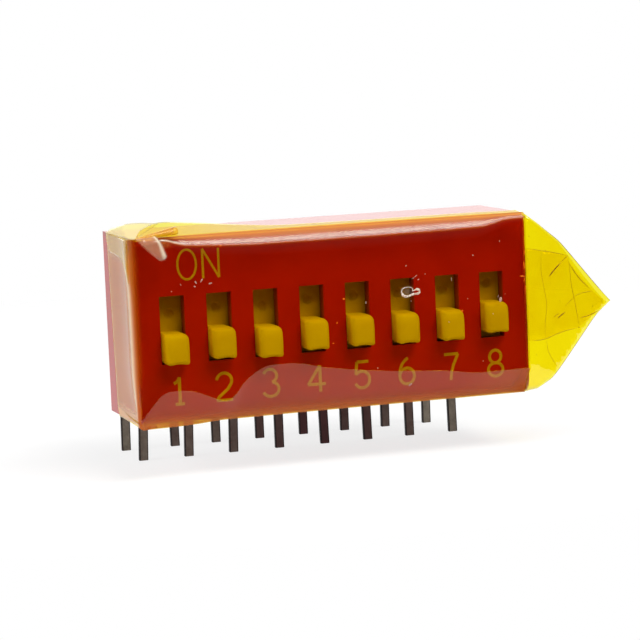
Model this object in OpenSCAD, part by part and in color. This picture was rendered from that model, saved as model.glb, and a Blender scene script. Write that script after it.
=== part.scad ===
// Right-angle slide DIP switch, sealed for washing with a wrap of clear tape.
// +X runs along the row of switches, the sliders face -Y, +Z is up from the board.
// z = 0 is the board's top face, and the origin is the centre of the two rows of pins.

/* [Switch] */
// Number of switches in the row
positions = 8; // [2:1:10]
// Distance from one switch, or pin, to the next
pitch = 2.54; // [2.1:0.01:3.1]

/* [Housing] */
// Height of the body above the board
body_h = 9.7; // [8:0.1:12]
// Depth of the body from its front face to its back
body_d = 6.2; // [5.1:0.1:8]
// Wall at each end, outside the last switch's share of the row
end_wall = 0.69; // [0.5:0.01:1.2]
// Thickness of the wall that the slots are cut in
front_wall = 0.7; // [0.5:0.05:0.9]
// Thickness of the top and bottom walls
side_wall = 0.8; // [0.6:0.05:1]
// Thickness of the rib between two switches
rib_t = 0.5; // [0.35:0.01:0.62]
// Radius of the outer edges around the front face
edge_r = 0.18; // [0.1:0.01:0.3]
// Width of a slot
slot_w = 1.34; // [1.1:0.01:1.6]
// Height of a slot
slot_h = 3.55; // [2.9:0.05:4.3]

/* [Sliders] */
// Height of a knob
knob_h = 1.55; // [1.2:0.05:1.9]
// How far a knob stands out of the front face
knob_proud = 0.87; // [0.6:0.01:1.1]
// Radius of a knob's two upper corners
knob_top_r = 0.34; // [0.25:0.01:0.42]
// Radius of a knob's two lower corners
knob_foot_r = 0.12; // [0.08:0.01:0.2]
// Radius of the edges around a knob's face
knob_edge_r = 0.16; // [0.1:0.01:0.22]
// Gap between a knob and its slot, on each side
knob_gap = 0.05; // [0.03:0.01:0.09]
// Gap between a slider and the walls of its channel
slide_gap = 0.05; // [0.03:0.01:0.09]
// Thickness of the plate that closes the slot behind the knob
plate_t = 0.7; // [0.5:0.05:0.9]
// Diameter of the round ejector mark in the plate
mark_d = 0.5; // [0.3:0.05:0.6]
// Depth of the ejector mark
mark_depth = 0.08; // [0.04:0.01:0.12]
// Height of the ejector mark's centre above the knob
mark_rise = 0.97; // [0.7:0.01:1.15]

/* [Contacts] */
// Width of the sliding spring contact
contact_w = 0.7; // [0.5:0.05:0.85]
// Thickness of the spring contact's strip
contact_t = 0.1; // [0.06:0.01:0.14]
// Distance of each contact point from the slider's centre
contact_span = 1; // [0.8:0.05:1.25]
// Radius of the curl at each contact point
curl_r = 0.24; // [0.18:0.01:0.3]
// Gap between the contact points and the terminals' pads
contact_gap = 0.04; // [0.02:0.01:0.08]
// Length of the flat middle that seats the spring contact
seat_len = 0.84; // [0.6:0.02:1]
// Wall around the spring contact's pocket in the slider
pocket_wall = 0.3; // [0.2:0.01:0.4]
// How far a contact stands out of its pocket
contact_out = 0.9; // [0.7:0.05:1.15]

/* [Terminals] */
// Width of a terminal's lead
lead_w = 0.5; // [0.4:0.01:0.65]
// Thickness of a terminal's strip
lead_t = 0.25; // [0.2:0.01:0.32]
// Inner radius of a lead's bends
bend_r = 0.2; // [0.12:0.01:0.26]
// Width of a contact pad
pad_w = 0.9; // [0.7:0.05:1.1]
// How far a pad reaches past the outermost place its contact rests
pad_over = 0.25; // [0.15:0.01:0.35]
// Height of a lead's centre line inside the nearer of the body's top and bottom
exit_z = 1.35; // [1.1:0.01:1.6]
// Distance from the body's back to the front row of pins
front_row = 0.7; // [0.58:0.01:1.2]
// Distance between the two rows of pins
row_space = 3.81; // [3.1:0.01:5.08]
// Length of the pins below the board's top face
pin_len = 3; // [2.4:0.1:4]

/* [Base and sealant] */
// Thickness of the base that carries the terminals
base_t = 1.4; // [1.1:0.05:1.7]
// Depth of the sealant that closes the body's back
seal_t = 0.3; // [0.2:0.01:0.4]
// How far the sealant lies inside the body's back edge
seal_sunk = 0.1; // [0.05:0.01:0.2]
// Gap around the base in the body
base_gap = 0.05; // [0.03:0.01:0.08]

/* [Sealing tape] */
// Thickness of the tape
tape_t = 0.07; // [0.05:0.01:0.1]
// Gap between the tape and what it lies on
tape_gap = 0.02; // [0.01:0.01:0.05]
// Gap between the tape and the knobs' faces
tape_clear = 0.07; // [0.05:0.01:0.15]
// Radius of the tape's turn over the top edge and round the left edge
tape_turn = 0.8; // [0.5:0.05:0.9]
// Height over which the tape slopes back to the bottom edge
tape_slope = 1.9; // [1.5:0.1:2.3]
// How far the tape goes back over the top
top_flap = 1.8; // [1.4:0.1:2.4]
// How far the tape goes back under the bottom
bottom_flap = 1.5; // [1.2:0.1:2]
// How far the tape goes back along the left end
left_flap = 4.8; // [3.8:0.1:5.6]
// Rise of the loose part of the top flap at its free edge
flap_rise = 0.6; // [0.4:0.05:0.8]
// Length of the loose part of the top flap
flap_loose = 11.6; // [9:0.1:14]
// Length of the pointed tab at the right end
tab_len = 4.9; // [4:0.1:6]

/* [Hidden] */
// Height of each knob above its slot's lower end in the off position, as the detents leave it
off_lift = [0, 0.15, 0, 0.2, 0.2, 0.14, 0.1, 0.32];

// Overall places
body_w = positions * pitch + 2 * end_wall;
front_y = -(body_d + front_row + row_space / 2);
slot_z = (body_h - slot_h) / 2;

// Channels and pocket of the housing
channel_w = pitch - rib_t;
channel_h = body_h - 2 * side_wall;
base_front = body_d - seal_sunk - seal_t - base_t;

// Sliders
knob_w = slot_w - 2 * knob_gap;
travel = slot_h - knob_h - 2 * knob_gap;
plate_front = front_wall + slide_gap;
plate_back = plate_front + plate_t;
plate_w = channel_w - 2 * slide_gap;
plate_reach = (channel_h - knob_h - travel) / 2 - slide_gap;
curl_reach = contact_span + curl_r;
pocket_w = contact_w + 2 * slide_gap;
pocket_h = 2 * (curl_reach + slide_gap);
block_h = pocket_h + 2 * pocket_wall;
block_back = base_front - contact_out;

// Spring contact, as half of its centre line in height and depth
tip_depth = base_front - contact_gap - contact_t / 2;
seat_depth = plate_back + contact_t / 2;
curl_from = -35;
curl_to = 80;

// Heights of the contact points with the slider down and up
knob_mid = slot_z + knob_gap + knob_h / 2;
pad_low = [knob_mid - contact_span - pad_over, knob_mid + travel - contact_span + pad_over];
pad_high = [knob_mid + travel + contact_span - pad_over, knob_mid + travel + contact_span + pad_over];

// Lead bends, on the strip's centre line
turn_r = bend_r + lead_t / 2;
pad_depth = base_front + lead_t / 2;
row_depths = [body_d + front_row, body_d + front_row + row_space];

// Tape: how far out its inner face lies over the knobs, and its outer face along the edges
tape_out = knob_proud + tape_clear;
tape_edge = tape_gap + tape_t;
hood_lip = 0.3;
tab_layers = 3;

slider_names = [for (i = [1:positions]) str("slider_", i)];
contact_names = [for (i = [1:positions]) str("contact_", i)];
lower_names = [for (i = [1:positions]) str("lower_terminal_", i)];
upper_names = [for (i = [1:positions]) str("upper_terminal_", i)];

// Small overlap that makes a cut pass through the face it starts from
cut = 0.01;
$fn = 48;
arc_steps = 10;

// Place of a switch along the row, counted from 1 at the left
function switch_x(i) = (i - (positions + 1) / 2) * pitch;

// Knob lift of one switch
function lift(i) = off_lift[(i - 1) % len(off_lift)];

// Points along an arc around a centre, from one angle to another
function arc(centre, r, from, to) = [
    for (k = [0:arc_steps])
        let (a = from + (to - from) * k / arc_steps)
        centre + r * [cos(a), sin(a)]
];

// Unit vector along the line from a to b
function along(a, b) = (b - a) / norm(b - a);

// Corner of a strip's edge beside point i of a line, at a distance to its left
function edge_point(line, i, dist) =
    let (
        before = i == 0 ? along(line[0], line[1]) : along(line[i - 1], line[i]),
        after = i == len(line) - 1 ? before : along(line[i], line[i + 1]),
        side = [-before[1] - after[1], before[0] + after[0]]
    )
    line[i] + side * dist * 2 / (side * side);

// Outline of a strip of thickness t along a line
function strip(line, t) = concat(
    [for (i = [0:len(line) - 1]) edge_point(line, i, t / 2)],
    [for (i = [len(line) - 1:-1:0]) edge_point(line, i, -t / 2)]
);

// Box from its lowest to its highest corner
module block(low, high) {
    translate(low)
        cube(high - low);
}

// Outline in width and height, rounded at the foot and at the top
module round_outline(w, h, foot_r, top_r) {
    difference() {
        translate([-w / 2, 0])
            square([w, h]);
        for (side = [-1, 1]) {
            corner_cut(side * w / 2, 0, -side, 1, foot_r);
            corner_cut(side * w / 2, h, -side, -1, top_r);
        }
    }
}

// What rounding takes off one corner; dx and dy point into the outline
module corner_cut(x, y, dx, dy, r) {
    difference() {
        translate([x + (dx > 0 ? -cut : -r), y + (dy > 0 ? -cut : -r)])
            square(r + cut);
        translate([x + dx * r, y + dy * r])
            circle(r);
    }
}

// Extrusion along Y of an outline in X and Z, from one depth behind the front face to another
module through_y(from, to) {
    translate([0, front_y + to, 0])
        rotate([90, 0, 0])
            linear_extrude(to - from)
                children();
}

// Extrusion along X of an outline in depth and height
module through_x(from, to) {
    translate([from, front_y, 0])
        rotate([90, 0, 90])
            linear_extrude(to - from)
                children();
}

// Extrusion along Z of an outline in X and depth
module through_z(from, to) {
    translate([0, front_y, from])
        linear_extrude(to - from)
            children();
}

// Rectangle in depth and height or in X and depth, with the two corners at the front rounded
module fronted(depth, from, to, r) {
    difference() {
        translate([0, from])
            square([depth, to - from]);
        corner_cut(0, from, 1, 1, r);
        corner_cut(0, to, 1, -1, r);
    }
}

// Moulded box, open at the back, with a slot and a channel for each slider
module housing() {
    color("firebrick")
        difference() {
            intersection() {
                through_x(-body_w / 2, body_w / 2)
                    fronted(body_d, 0, body_h, edge_r);
                through_z(0, body_h)
                    rotate(90)
                        mirror([0, 1])
                            fronted(body_d, -body_w / 2, body_w / 2, edge_r);
            }
            for (i = [1:positions]) {
                through_y(-cut, front_wall + cut)
                    translate([switch_x(i), slot_z])
                        translate([-slot_w / 2, 0])
                            square([slot_w, slot_h]);
                through_y(front_wall, base_front + cut)
                    translate([switch_x(i) - channel_w / 2, side_wall])
                        square([channel_w, channel_h]);
            }
            through_y(base_front, body_d + cut)
                translate([-positions * pitch / 2, side_wall])
                    square([positions * pitch, channel_h]);
        }
}

// Knob, the plate behind it and the pocketed block that carries the spring contact
module slider(i) {
    color("gold")
        translate([switch_x(i), 0, slot_z + knob_gap + lift(i)])
            difference() {
                union() {
                    knob();
                    through_y(plate_front, plate_back)
                        translate([-plate_w / 2, -plate_reach])
                            square([plate_w, knob_h + 2 * plate_reach]);
                    through_y(plate_back - cut, block_back)
                        translate([-plate_w / 2, (knob_h - block_h) / 2])
                            square([plate_w, block_h]);
                }
                through_y(plate_back, block_back + cut)
                    translate([-pocket_w / 2, (knob_h - pocket_h) / 2])
                        square([pocket_w, pocket_h]);
                through_y(plate_front - cut, plate_front + mark_depth)
                    translate([0, knob_h + mark_rise])
                        circle(d = mark_d);
            }
}

// Knob with round upper corners and eased edges around its face
module knob() {
    intersection() {
        through_y(-knob_proud, plate_front + cut)
            round_outline(knob_w, knob_h, knob_foot_r, knob_top_r);
        through_z(0, knob_h)
            translate([0, -knob_proud])
                rotate(90)
                    mirror([0, 1])
                        fronted(knob_proud + plate_back, -knob_w / 2, knob_w / 2, knob_edge_r);
        through_x(-knob_w / 2, knob_w / 2)
            translate([-knob_proud, 0])
                fronted(knob_proud + plate_back, 0, knob_h, knob_edge_r);
    }
}

// Bowed spring strip that bridges the two pads, curled at both contact points
module contact(i) {
    curl = arc([tip_depth - curl_r, contact_span], curl_r, curl_from, curl_to);
    half = concat([[seat_depth, seat_len / 2]], curl);
    other = [for (k = [len(half) - 1:-1:0]) [half[k][0], -half[k][1]]];
    color("goldenrod")
        translate([0, 0, slot_z + knob_gap + lift(i) + knob_h / 2])
            through_x(switch_x(i) - contact_w / 2, switch_x(i) + contact_w / 2)
                polygon(strip(concat(other, half), contact_t));
}

// Straight piece of a lead between two heights or two depths of its centre line
module run_down(depth, low, high) {
    through_x(-lead_w / 2, lead_w / 2)
        translate([depth - lead_t / 2, low])
            square([lead_t, high - low]);
}

module run_back(z, from, to) {
    through_x(-lead_w / 2, lead_w / 2)
        translate([from, z - lead_t / 2])
            square([to - from, lead_t]);
}

// Quarter bend of a lead around a point in depth and height; start is measured from straight back
module turn(depth, z, start) {
    translate([-lead_w / 2, front_y + depth, z])
        rotate([90, 0, 90])
            rotate(start)
                rotate_extrude(angle = 90)
                    translate([bend_r, 0])
                        square([lead_t, lead_w]);
}

// Terminal from its pad in the base, out of the back at exit height and down to the pin's tip
module terminal(pad, exit, row) {
    rises = exit > pad[0];
    bend_z = rises ? exit - turn_r : exit + turn_r;
    color("dimgray") {
        through_x(-pad_w / 2, pad_w / 2)
            translate([base_front, pad[0]])
                square([lead_t, pad[1] - pad[0]]);
        run_down(pad_depth, rises ? pad[0] : bend_z, rises ? bend_z : pad[1]);
        turn(pad_depth + turn_r, bend_z, rises ? 90 : 180);
        run_back(exit, pad_depth + turn_r, row_depths[row] - turn_r);
        turn(row_depths[row] - turn_r, exit - turn_r, 0);
        run_down(row_depths[row], -pin_len, exit - turn_r);
    }
}

module lower_terminal(i) {
    translate([switch_x(i), 0, 0])
        terminal(pad_low, exit_z, 0);
}

module upper_terminal(i) {
    translate([switch_x(i), 0, 0])
        terminal(pad_high, body_h - exit_z, 1);
}

module terminals() {
    for (i = [1:positions]) {
        lower_terminal(i);
        upper_terminal(i);
    }
}

// Slab moulded around the terminals, which closes the channels
module base() {
    color("darkred")
        difference() {
            through_y(base_front, base_front + base_t)
                translate([-positions * pitch / 2 + base_gap, side_wall + base_gap])
                    square([positions * pitch - 2 * base_gap, channel_h - 2 * base_gap]);
            terminals();
        }
}

// Resin poured over the base
module sealant() {
    color("saddlebrown")
        difference() {
            through_y(base_front + base_t, body_d - seal_sunk)
                translate([-positions * pitch / 2, side_wall])
                    square([positions * pitch, channel_h]);
            terminals();
        }
}

// What one face of the tape's hood encloses, back to its lip; grow lengthens the open ends
module hood_fill(edge, out, r, grow) {
    left = -body_w / 2 - edge;
    right = body_w / 2 + grow;
    high = body_h + edge;
    lip = hood_lip + grow;
    rise = concat(
        [[lip, -edge], [-edge, -edge], [-out, tape_slope]],
        arc([r - out, high - r], r, 180, 90),
        [[lip, high]]
    );
    plan = concat([[left, lip]], arc([left + r, r - out], r, 180, 270), [[right, -out], [right, lip]]);
    intersection() {
        through_x(left, right)
            polygon(rise);
        through_z(-edge, high)
            polygon(plan);
    }
}

// Clear tape over the front, turned over the top, bottom and left end, folded to a tab at the right
module tape() {
    left = -body_w / 2 - tape_edge;
    loose_x = -body_w / 2 + flap_loose;
    over = front_y + hood_lip / 2;
    loose_len = top_flap - hood_lip / 2;
    color([0.95, 0.75, 0.1, 0.6]) {
        difference() {
            hood_fill(tape_edge, tape_out + tape_t, tape_turn, 0);
            hood_fill(tape_gap, tape_out, tape_turn - tape_t, cut);
        }
        // Left end
        block([left, over, -tape_edge], [-body_w / 2 - tape_gap, front_y + left_flap, body_h + tape_edge]);
        // Underside
        block([left, over, -tape_edge], [body_w / 2, front_y + bottom_flap, -tape_gap]);
        // Top, flat at the right and lifted at the left
        block([loose_x, over, body_h + tape_gap], [body_w / 2, front_y + top_flap, body_h + tape_edge]);
        translate([left, over, body_h + tape_gap])
            rotate([asin(flap_rise / loose_len), 0, 0])
                cube([loose_x - left, loose_len, tape_t]);
        // Folded layers of the tab, in line with the front
        through_y(-tape_out - tape_t, -tape_out + (tab_layers - 1) * tape_t)
            polygon([
                [body_w / 2 - cut, -tape_edge],
                [body_w / 2 + tab_len, body_h / 2],
                [body_w / 2 - cut, body_h + tape_edge]
            ]);
    }
}

housing();
base();
sealant();
tape();
for (i = [1:positions]) {
    slider(i);
    contact(i);
    lower_terminal(i);
    upper_terminal(i);
}
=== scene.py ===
import math

import bmesh
import bpy
from mathutils import Matrix, Vector, noise


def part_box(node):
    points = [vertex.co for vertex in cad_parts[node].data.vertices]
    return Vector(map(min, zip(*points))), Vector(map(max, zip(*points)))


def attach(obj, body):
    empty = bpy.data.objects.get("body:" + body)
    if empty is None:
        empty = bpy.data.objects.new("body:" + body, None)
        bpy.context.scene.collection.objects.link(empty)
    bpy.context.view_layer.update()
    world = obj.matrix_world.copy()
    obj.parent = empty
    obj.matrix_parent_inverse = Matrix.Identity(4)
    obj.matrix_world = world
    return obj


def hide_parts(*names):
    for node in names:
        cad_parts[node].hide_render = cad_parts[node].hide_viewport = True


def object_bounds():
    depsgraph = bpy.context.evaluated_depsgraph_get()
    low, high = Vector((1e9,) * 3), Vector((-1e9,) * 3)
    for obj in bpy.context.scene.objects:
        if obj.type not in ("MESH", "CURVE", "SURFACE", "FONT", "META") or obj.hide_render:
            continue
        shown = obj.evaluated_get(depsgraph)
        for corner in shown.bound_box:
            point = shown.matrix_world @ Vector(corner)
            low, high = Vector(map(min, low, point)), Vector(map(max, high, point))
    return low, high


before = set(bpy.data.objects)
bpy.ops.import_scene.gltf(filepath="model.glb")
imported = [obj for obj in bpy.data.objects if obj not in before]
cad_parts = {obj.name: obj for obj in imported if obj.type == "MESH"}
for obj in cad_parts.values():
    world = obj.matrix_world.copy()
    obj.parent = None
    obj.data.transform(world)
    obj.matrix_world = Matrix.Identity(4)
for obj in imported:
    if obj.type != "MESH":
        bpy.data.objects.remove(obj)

MM = 0.001
packed_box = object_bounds()

# ---------------------------------------------------------------- Camera
# A long lens a hand's length in front and to the left, a little above the part.

LENS = 160.0
CAMERA_AT = (-47.0, -150.4, 22.41)
YAW, PITCH, ROLL = (math.radians(a) for a in (18.05, 6.76, -2.42))

camera_data = bpy.data.cameras.new("camera")
camera_data.lens = LENS
camera_data.sensor_width = 36.0
camera_data.clip_start = 0.01
camera_data.clip_end = 5.0
camera = bpy.data.objects.new("camera", camera_data)
bpy.context.scene.collection.objects.link(camera)
turned = Matrix.Rotation(ROLL, 3, "Y") @ Matrix.Rotation(PITCH, 3, "X") @ Matrix.Rotation(YAW, 3, "Z")
right, ahead, up = (turned[i] for i in range(3))
axes = Matrix((right, up, -ahead)).transposed()
camera.matrix_world = Matrix.Translation(Vector(CAMERA_AT) * MM) @ axes.to_4x4()
bpy.context.scene.camera = camera
bpy.context.scene.view_settings.view_transform = "Standard"

# ---------------------------------------------------------------- Floor, surroundings and lamps
# The pin tips stand on a small white card in a white room. The room is dark behind the camera,
# so that the flat film shows no haze, and the lamps are soft boxes above, in front and at the left.


def linear(hex_colour):
    """Linear RGBA of an sRGB hex colour."""
    channels = [int(hex_colour[i:i + 2], 16) / 255 for i in (1, 3, 5)]
    return [c / 12.92 if c <= 0.04045 else ((c + 0.055) / 1.055) ** 2.4 for c in channels] + [1.0]


def add(tree, kind, wires=None, **settings):
    """Adds a node. Settings name its sockets or its properties; wires joins its sockets to outputs."""
    node = tree.nodes.new("ShaderNode" + kind)
    for name, value in settings.items():
        label = name.replace("_", " ")
        if name in node.bl_rna.properties:
            setattr(node, name, value)
        elif label in node.inputs:
            node.inputs[label].default_value = value
        else:
            node.inputs[int(name[1:])].default_value = value
    for name, source in (wires or {}).items():
        tree.links.new(source, node.inputs[name])
    return node


def new_material(name):
    """An empty node material and its node tree."""
    material = bpy.data.materials.new(name)
    material.use_nodes = True
    material.node_tree.nodes.clear()
    return material, material.node_tree


def piece(name, bm, material, smooth_angle=40):
    """Makes an object of a bmesh drawn in millimetres, smooth up to an angle, and frees the bmesh."""
    bmesh.ops.scale(bm, vec=(MM, MM, MM), verts=bm.verts)
    mesh = bpy.data.meshes.new(name)
    bm.to_mesh(mesh)
    bm.free()
    mesh.materials.append(material)
    mesh.polygons.foreach_set("use_smooth", [True] * len(mesh.polygons))
    mesh.set_sharp_from_angle(angle=math.radians(smooth_angle))
    obj = bpy.data.objects.new(name, mesh)
    bpy.context.scene.collection.objects.link(obj)
    return obj


def lamp(name, azimuth, elevation, distance, size, power):
    """Soft box that faces the switch; azimuth 0 is in front of it and 90 at its right."""
    data = bpy.data.lights.new(name, "AREA")
    data.shape = "RECTANGLE"
    data.size, data.size_y = size
    data.energy = power
    obj = bpy.data.objects.new(name, data)
    bpy.context.scene.collection.objects.link(obj)
    a, e = math.radians(azimuth), math.radians(elevation)
    way = Vector((math.sin(a) * math.cos(e), -math.cos(a) * math.cos(e), math.sin(e)))
    middle = (packed_box[0] + packed_box[1]) / 2
    facing = way.to_track_quat("Z", "Y").to_matrix().to_4x4()
    obj.matrix_world = Matrix.Translation(middle + way * distance) @ facing


lamp("lamp_key", 28, 55, 0.30, (0.22, 0.125), 0.84)
lamp("lamp_left", -82, 24, 0.32, (0.20, 0.18), 0.66)
lamp("lamp_back", 162, 9.5, 0.32, (0.30, 0.06), 0.098)

world = bpy.data.worlds.new("studio")
world.use_nodes = True
bpy.context.scene.world = world
room = world.node_tree
room.nodes.clear()
path = add(room, "LightPath")
way = add(room, "TexCoord").outputs["Generated"]
split = add(room, "SeparateXYZ", wires={"Vector": way})
behind = add(room, "MapRange", {"Value": split.outputs["Y"]}, From_Min=0.30, From_Max=0.80)
above = add(room, "MapRange", {"Value": split.outputs["Z"]}, From_Min=0.0, From_Max=0.45, To_Max=0.10)
open_room = add(room, "Math", {0: behind.outputs["Result"], 1: above.outputs["Result"]}, operation="MAXIMUM")
mirrored = add(room, "Background", {"Strength": open_room.outputs[0]}, Color=(1, 1, 1, 1))
fill = add(room, "Background", Color=(1, 1, 1, 1), Strength=0.20)
seen = add(room, "Background", Color=(1, 1, 1, 1), Strength=1.0)
glossy = add(room, "MixShader", {0: path.outputs["Is Glossy Ray"], 1: fill.outputs[0],
                                 2: mirrored.outputs[0]})
plain = add(room, "Math", {0: path.outputs["Is Camera Ray"], 1: path.outputs["Is Transmission Ray"]},
            operation="MAXIMUM")
whole = add(room, "MixShader", {0: plain.outputs[0], 1: glossy.outputs[0], 2: seen.outputs[0]})
add(room, "OutputWorld", {"Surface": whole.outputs[0]})

card, tree = new_material("white_card")
rays = add(tree, "LightPath")
either = add(tree, "Math", {0: rays.outputs["Is Camera Ray"], 1: rays.outputs["Is Transmission Ray"]},
             operation="MAXIMUM")
looked_at = add(tree, "Math", {0: either.outputs[0], 1: rays.outputs["Is Glossy Ray"]}, operation="MAXIMUM")
paper = add(tree, "BsdfDiffuse", Color=linear("#F0F0F0"))
paper_seen = add(tree, "BsdfDiffuse", Color=linear("#8C8C8C"))
glow = add(tree, "Emission", Color=(1, 1, 1, 1), Strength=0.77)
lit = add(tree, "AddShader", {0: paper_seen.outputs[0], 1: glow.outputs[0]})
shown = add(tree, "MixShader", {0: looked_at.outputs[0], 1: paper.outputs[0], 2: lit.outputs[0]})
add(tree, "OutputMaterial", {"Surface": shown.outputs[0]})

FLOOR_R = 55.0
FLOOR_MIDDLE = (0.0, 26.0)
bm = bmesh.new()
bmesh.ops.create_circle(bm, cap_ends=True, segments=96, radius=FLOOR_R)
bmesh.ops.translate(bm, vec=(*FLOOR_MIDDLE, packed_box[0].z / MM - 0.005), verts=bm.verts)
floor = piece("floor", bm, card)

# ---------------------------------------------------------------- Housing
# The box that everything else goes into, open at the back, with a slot for each slider.
# Moulded in red glass-filled PBT: satin, with a fine spark-eroded grain and a slightly uneven red,
# and duller where the glue of the film wets it.

SWITCHES = len([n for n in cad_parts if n.startswith("slider_")])


def moulded(name, low, high, sheen, grain_mm=0.09, relief=0.006, painted_shade=None):
    """Moulded plastic: cloudy colour between two hexes, and a fine grain in roughness and height."""
    material, tree = new_material(name)
    place = add(tree, "TexCoord").outputs["Object"]
    clouds = add(tree, "TexNoise", {"Vector": place}, Scale=1 / (2.2 * MM), Detail=3.0)
    grain = add(tree, "TexNoise", {"Vector": place}, Scale=1 / (grain_mm * MM), Detail=2.0)
    share = add(tree, "MapRange", {"Value": clouds.outputs["Fac"]}, From_Min=0.3, From_Max=0.7)
    fleck = add(tree, "MapRange", {"Value": grain.outputs["Fac"]}, From_Min=0.35, From_Max=0.75, To_Max=0.5)
    mixed = add(tree, "Math", {0: share.outputs["Result"], 1: fleck.outputs["Result"]}, operation="ADD",
                use_clamp=True)
    ramp = add(tree, "ValToRGB", {"Fac": mixed.outputs[0]})
    ramp.color_ramp.elements[0].color = linear(low)
    ramp.color_ramp.elements[1].color = linear(high)
    colour = ramp.outputs["Color"]
    # Painted shade: a vertex attribute darkens the colour towards the given darker hex
    if painted_shade:
        painted_shade_share = add(tree, "Attribute", attribute_name="painted_shade")
        shaded_colour = add(tree, "Mix", {0: painted_shade_share.outputs["Fac"], 6: colour}, data_type="RGBA", _7=linear(painted_shade))
        colour = shaded_colour.outputs[2]
    rough = add(tree, "MapRange", {"Value": grain.outputs["Fac"]}, To_Min=sheen - 0.06, To_Max=sheen + 0.06)
    bump = add(tree, "Bump", {"Height": grain.outputs["Fac"]}, Strength=0.35, Distance=relief * MM)
    skin = add(tree, "BsdfPrincipled", {"Base Color": colour, "Roughness": rough.outputs["Result"],
                                        "Normal": bump.outputs["Normal"]}, IOR=1.55, Specular_IOR_Level=0.2)
    add(tree, "OutputMaterial", {"Surface": skin.outputs[0]})
    return material


def finish(node, material):
    """Gives a CAD node its material."""
    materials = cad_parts[node].data.materials
    materials.clear()
    materials.append(material)


red_pbt = moulded("pbt_moulded_red", "#A30D08", "#AE120C", 0.31)
tree = red_pbt.node_tree
place = add(tree, "SeparateXYZ", {"Vector": add(tree, "TexCoord").outputs["Object"]})
at_rear = add(tree, "MapRange", {"Value": place.outputs["Y"]}, From_Min=-4.5 * MM, From_Max=-3.8 * MM)
on_top = add(tree, "MapRange", {"Value": place.outputs["Z"]}, From_Min=9.45 * MM, From_Max=9.65 * MM)
bare = add(tree, "Math", {0: at_rear.outputs["Result"], 1: on_top.outputs["Result"]}, operation="MAXIMUM")
gloss = add(tree, "MapRange", {"Value": bare.outputs[0]}, To_Min=0.2, To_Max=0.8)
tree.links.new(gloss.outputs["Result"], tree.nodes["Principled BSDF"].inputs["Specular IOR Level"])
# Inside the slots the red is painted darker as shade, and it is darker on the top
in_deep = add(tree, "MapRange", {"Value": place.outputs["Y"]}, From_Min=-8.78 * MM, From_Max=-8.45 * MM)
from_middle = add(tree, "Math", {0: place.outputs["X"]}, operation="ABSOLUTE")
in_row = add(tree, "MapRange", {"Value": from_middle.outputs[0]}, From_Min=10.4 * MM, From_Max=10.2 * MM)
in_slot = add(tree, "MapRange", {"Value": place.outputs["Z"]}, From_Min=7.0 * MM, From_Max=6.8 * MM)
both = add(tree, "Math", {0: in_deep.outputs["Result"], 1: in_row.outputs["Result"]}, operation="MULTIPLY")
painted_shade_share = add(tree, "Math", {0: both.outputs[0], 1: in_slot.outputs["Result"]}, operation="MULTIPLY")
darker_top = add(tree, "MapRange", {"Value": on_top.outputs["Result"]}, To_Max=0.45)
deeper = add(tree, "Math", {0: painted_shade_share.outputs[0], 1: darker_top.outputs["Result"]}, operation="MAXIMUM")
clean = tree.nodes["Color Ramp"].outputs["Color"]
# The darker hex is the colour of the shade painted in the slots and on the top
shaded_colour = add(tree, "Mix", {0: deeper.outputs[0], 6: clean}, data_type="RGBA", _7=linear("#8C2A10"))
tree.links.new(shaded_colour.outputs[2], tree.nodes["Principled BSDF"].inputs["Base Color"])
finish("housing", red_pbt)
house_low, house_high = (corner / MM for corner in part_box("housing"))
front_y = house_low.y


def switch_x(i):
    """Middle of a slot across the row, from the slider that runs in it."""
    low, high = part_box(f"slider_{i}")
    return (low.x + high.x) / 2 / MM


# ---------------------------------------------------------------- Legend
# ON above the first two slots and a number under each, pad-printed in a pale, slightly worn ink.
# Single strokes of an even width, like engraved type, standing just proud of the face.

INK_DEPTH = 0.012
DIGIT_STROKE, WORD_STROKE = 0.17, 0.125
DIGIT_FOOT_Z, WORD_FOOT_Z = 0.95, 7.43
DIGIT_TALL, WORD_TALL = 0.955, 1.02
DIGIT_SHIFT, O_SHIFT, N_SHIFT = 0.09, 0.9, 2.2


def mottled(name, low, high, patch_mm, dull=None, detail=2.0, full=0.65, ior=1.5):
    """A thin layer mottled between two hexes, and where dull gives two values, in its roughness too."""
    material, tree = new_material(name)
    place = add(tree, "TexCoord").outputs["Object"]
    patches = add(tree, "TexNoise", {"Vector": place}, Scale=1 / (patch_mm * MM), Detail=detail)
    ramp = add(tree, "ValToRGB", {"Fac": patches.outputs["Fac"]})
    for stop, position, colour in zip(ramp.color_ramp.elements, (0.35, full), (low, high)):
        stop.position, stop.color = position, linear(colour)
    layer = add(tree, "BsdfPrincipled", {"Base Color": ramp.outputs["Color"]}, IOR=ior)
    if dull:
        worn = add(tree, "MapRange", {"Value": patches.outputs["Fac"]}, To_Min=dull[0], To_Max=dull[1])
        tree.links.new(worn.outputs["Result"], layer.inputs["Roughness"])
    add(tree, "OutputMaterial", {"Surface": layer.outputs[0]})
    return material


ink = mottled("pad_print_ink_pale", "#AE7F61", "#BC8E6C", 0.12, detail=3.0, full=0.6)


def swing(x, z, rx, rz, start, end, steps=18):
    """Points along part of an ellipse, by angle from +X towards +Z."""
    angles = [math.radians(start + (end - start) * k / steps) for k in range(steps + 1)]
    return [(x + rx * math.cos(a), z + rz * math.sin(a)) for a in angles]


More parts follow.
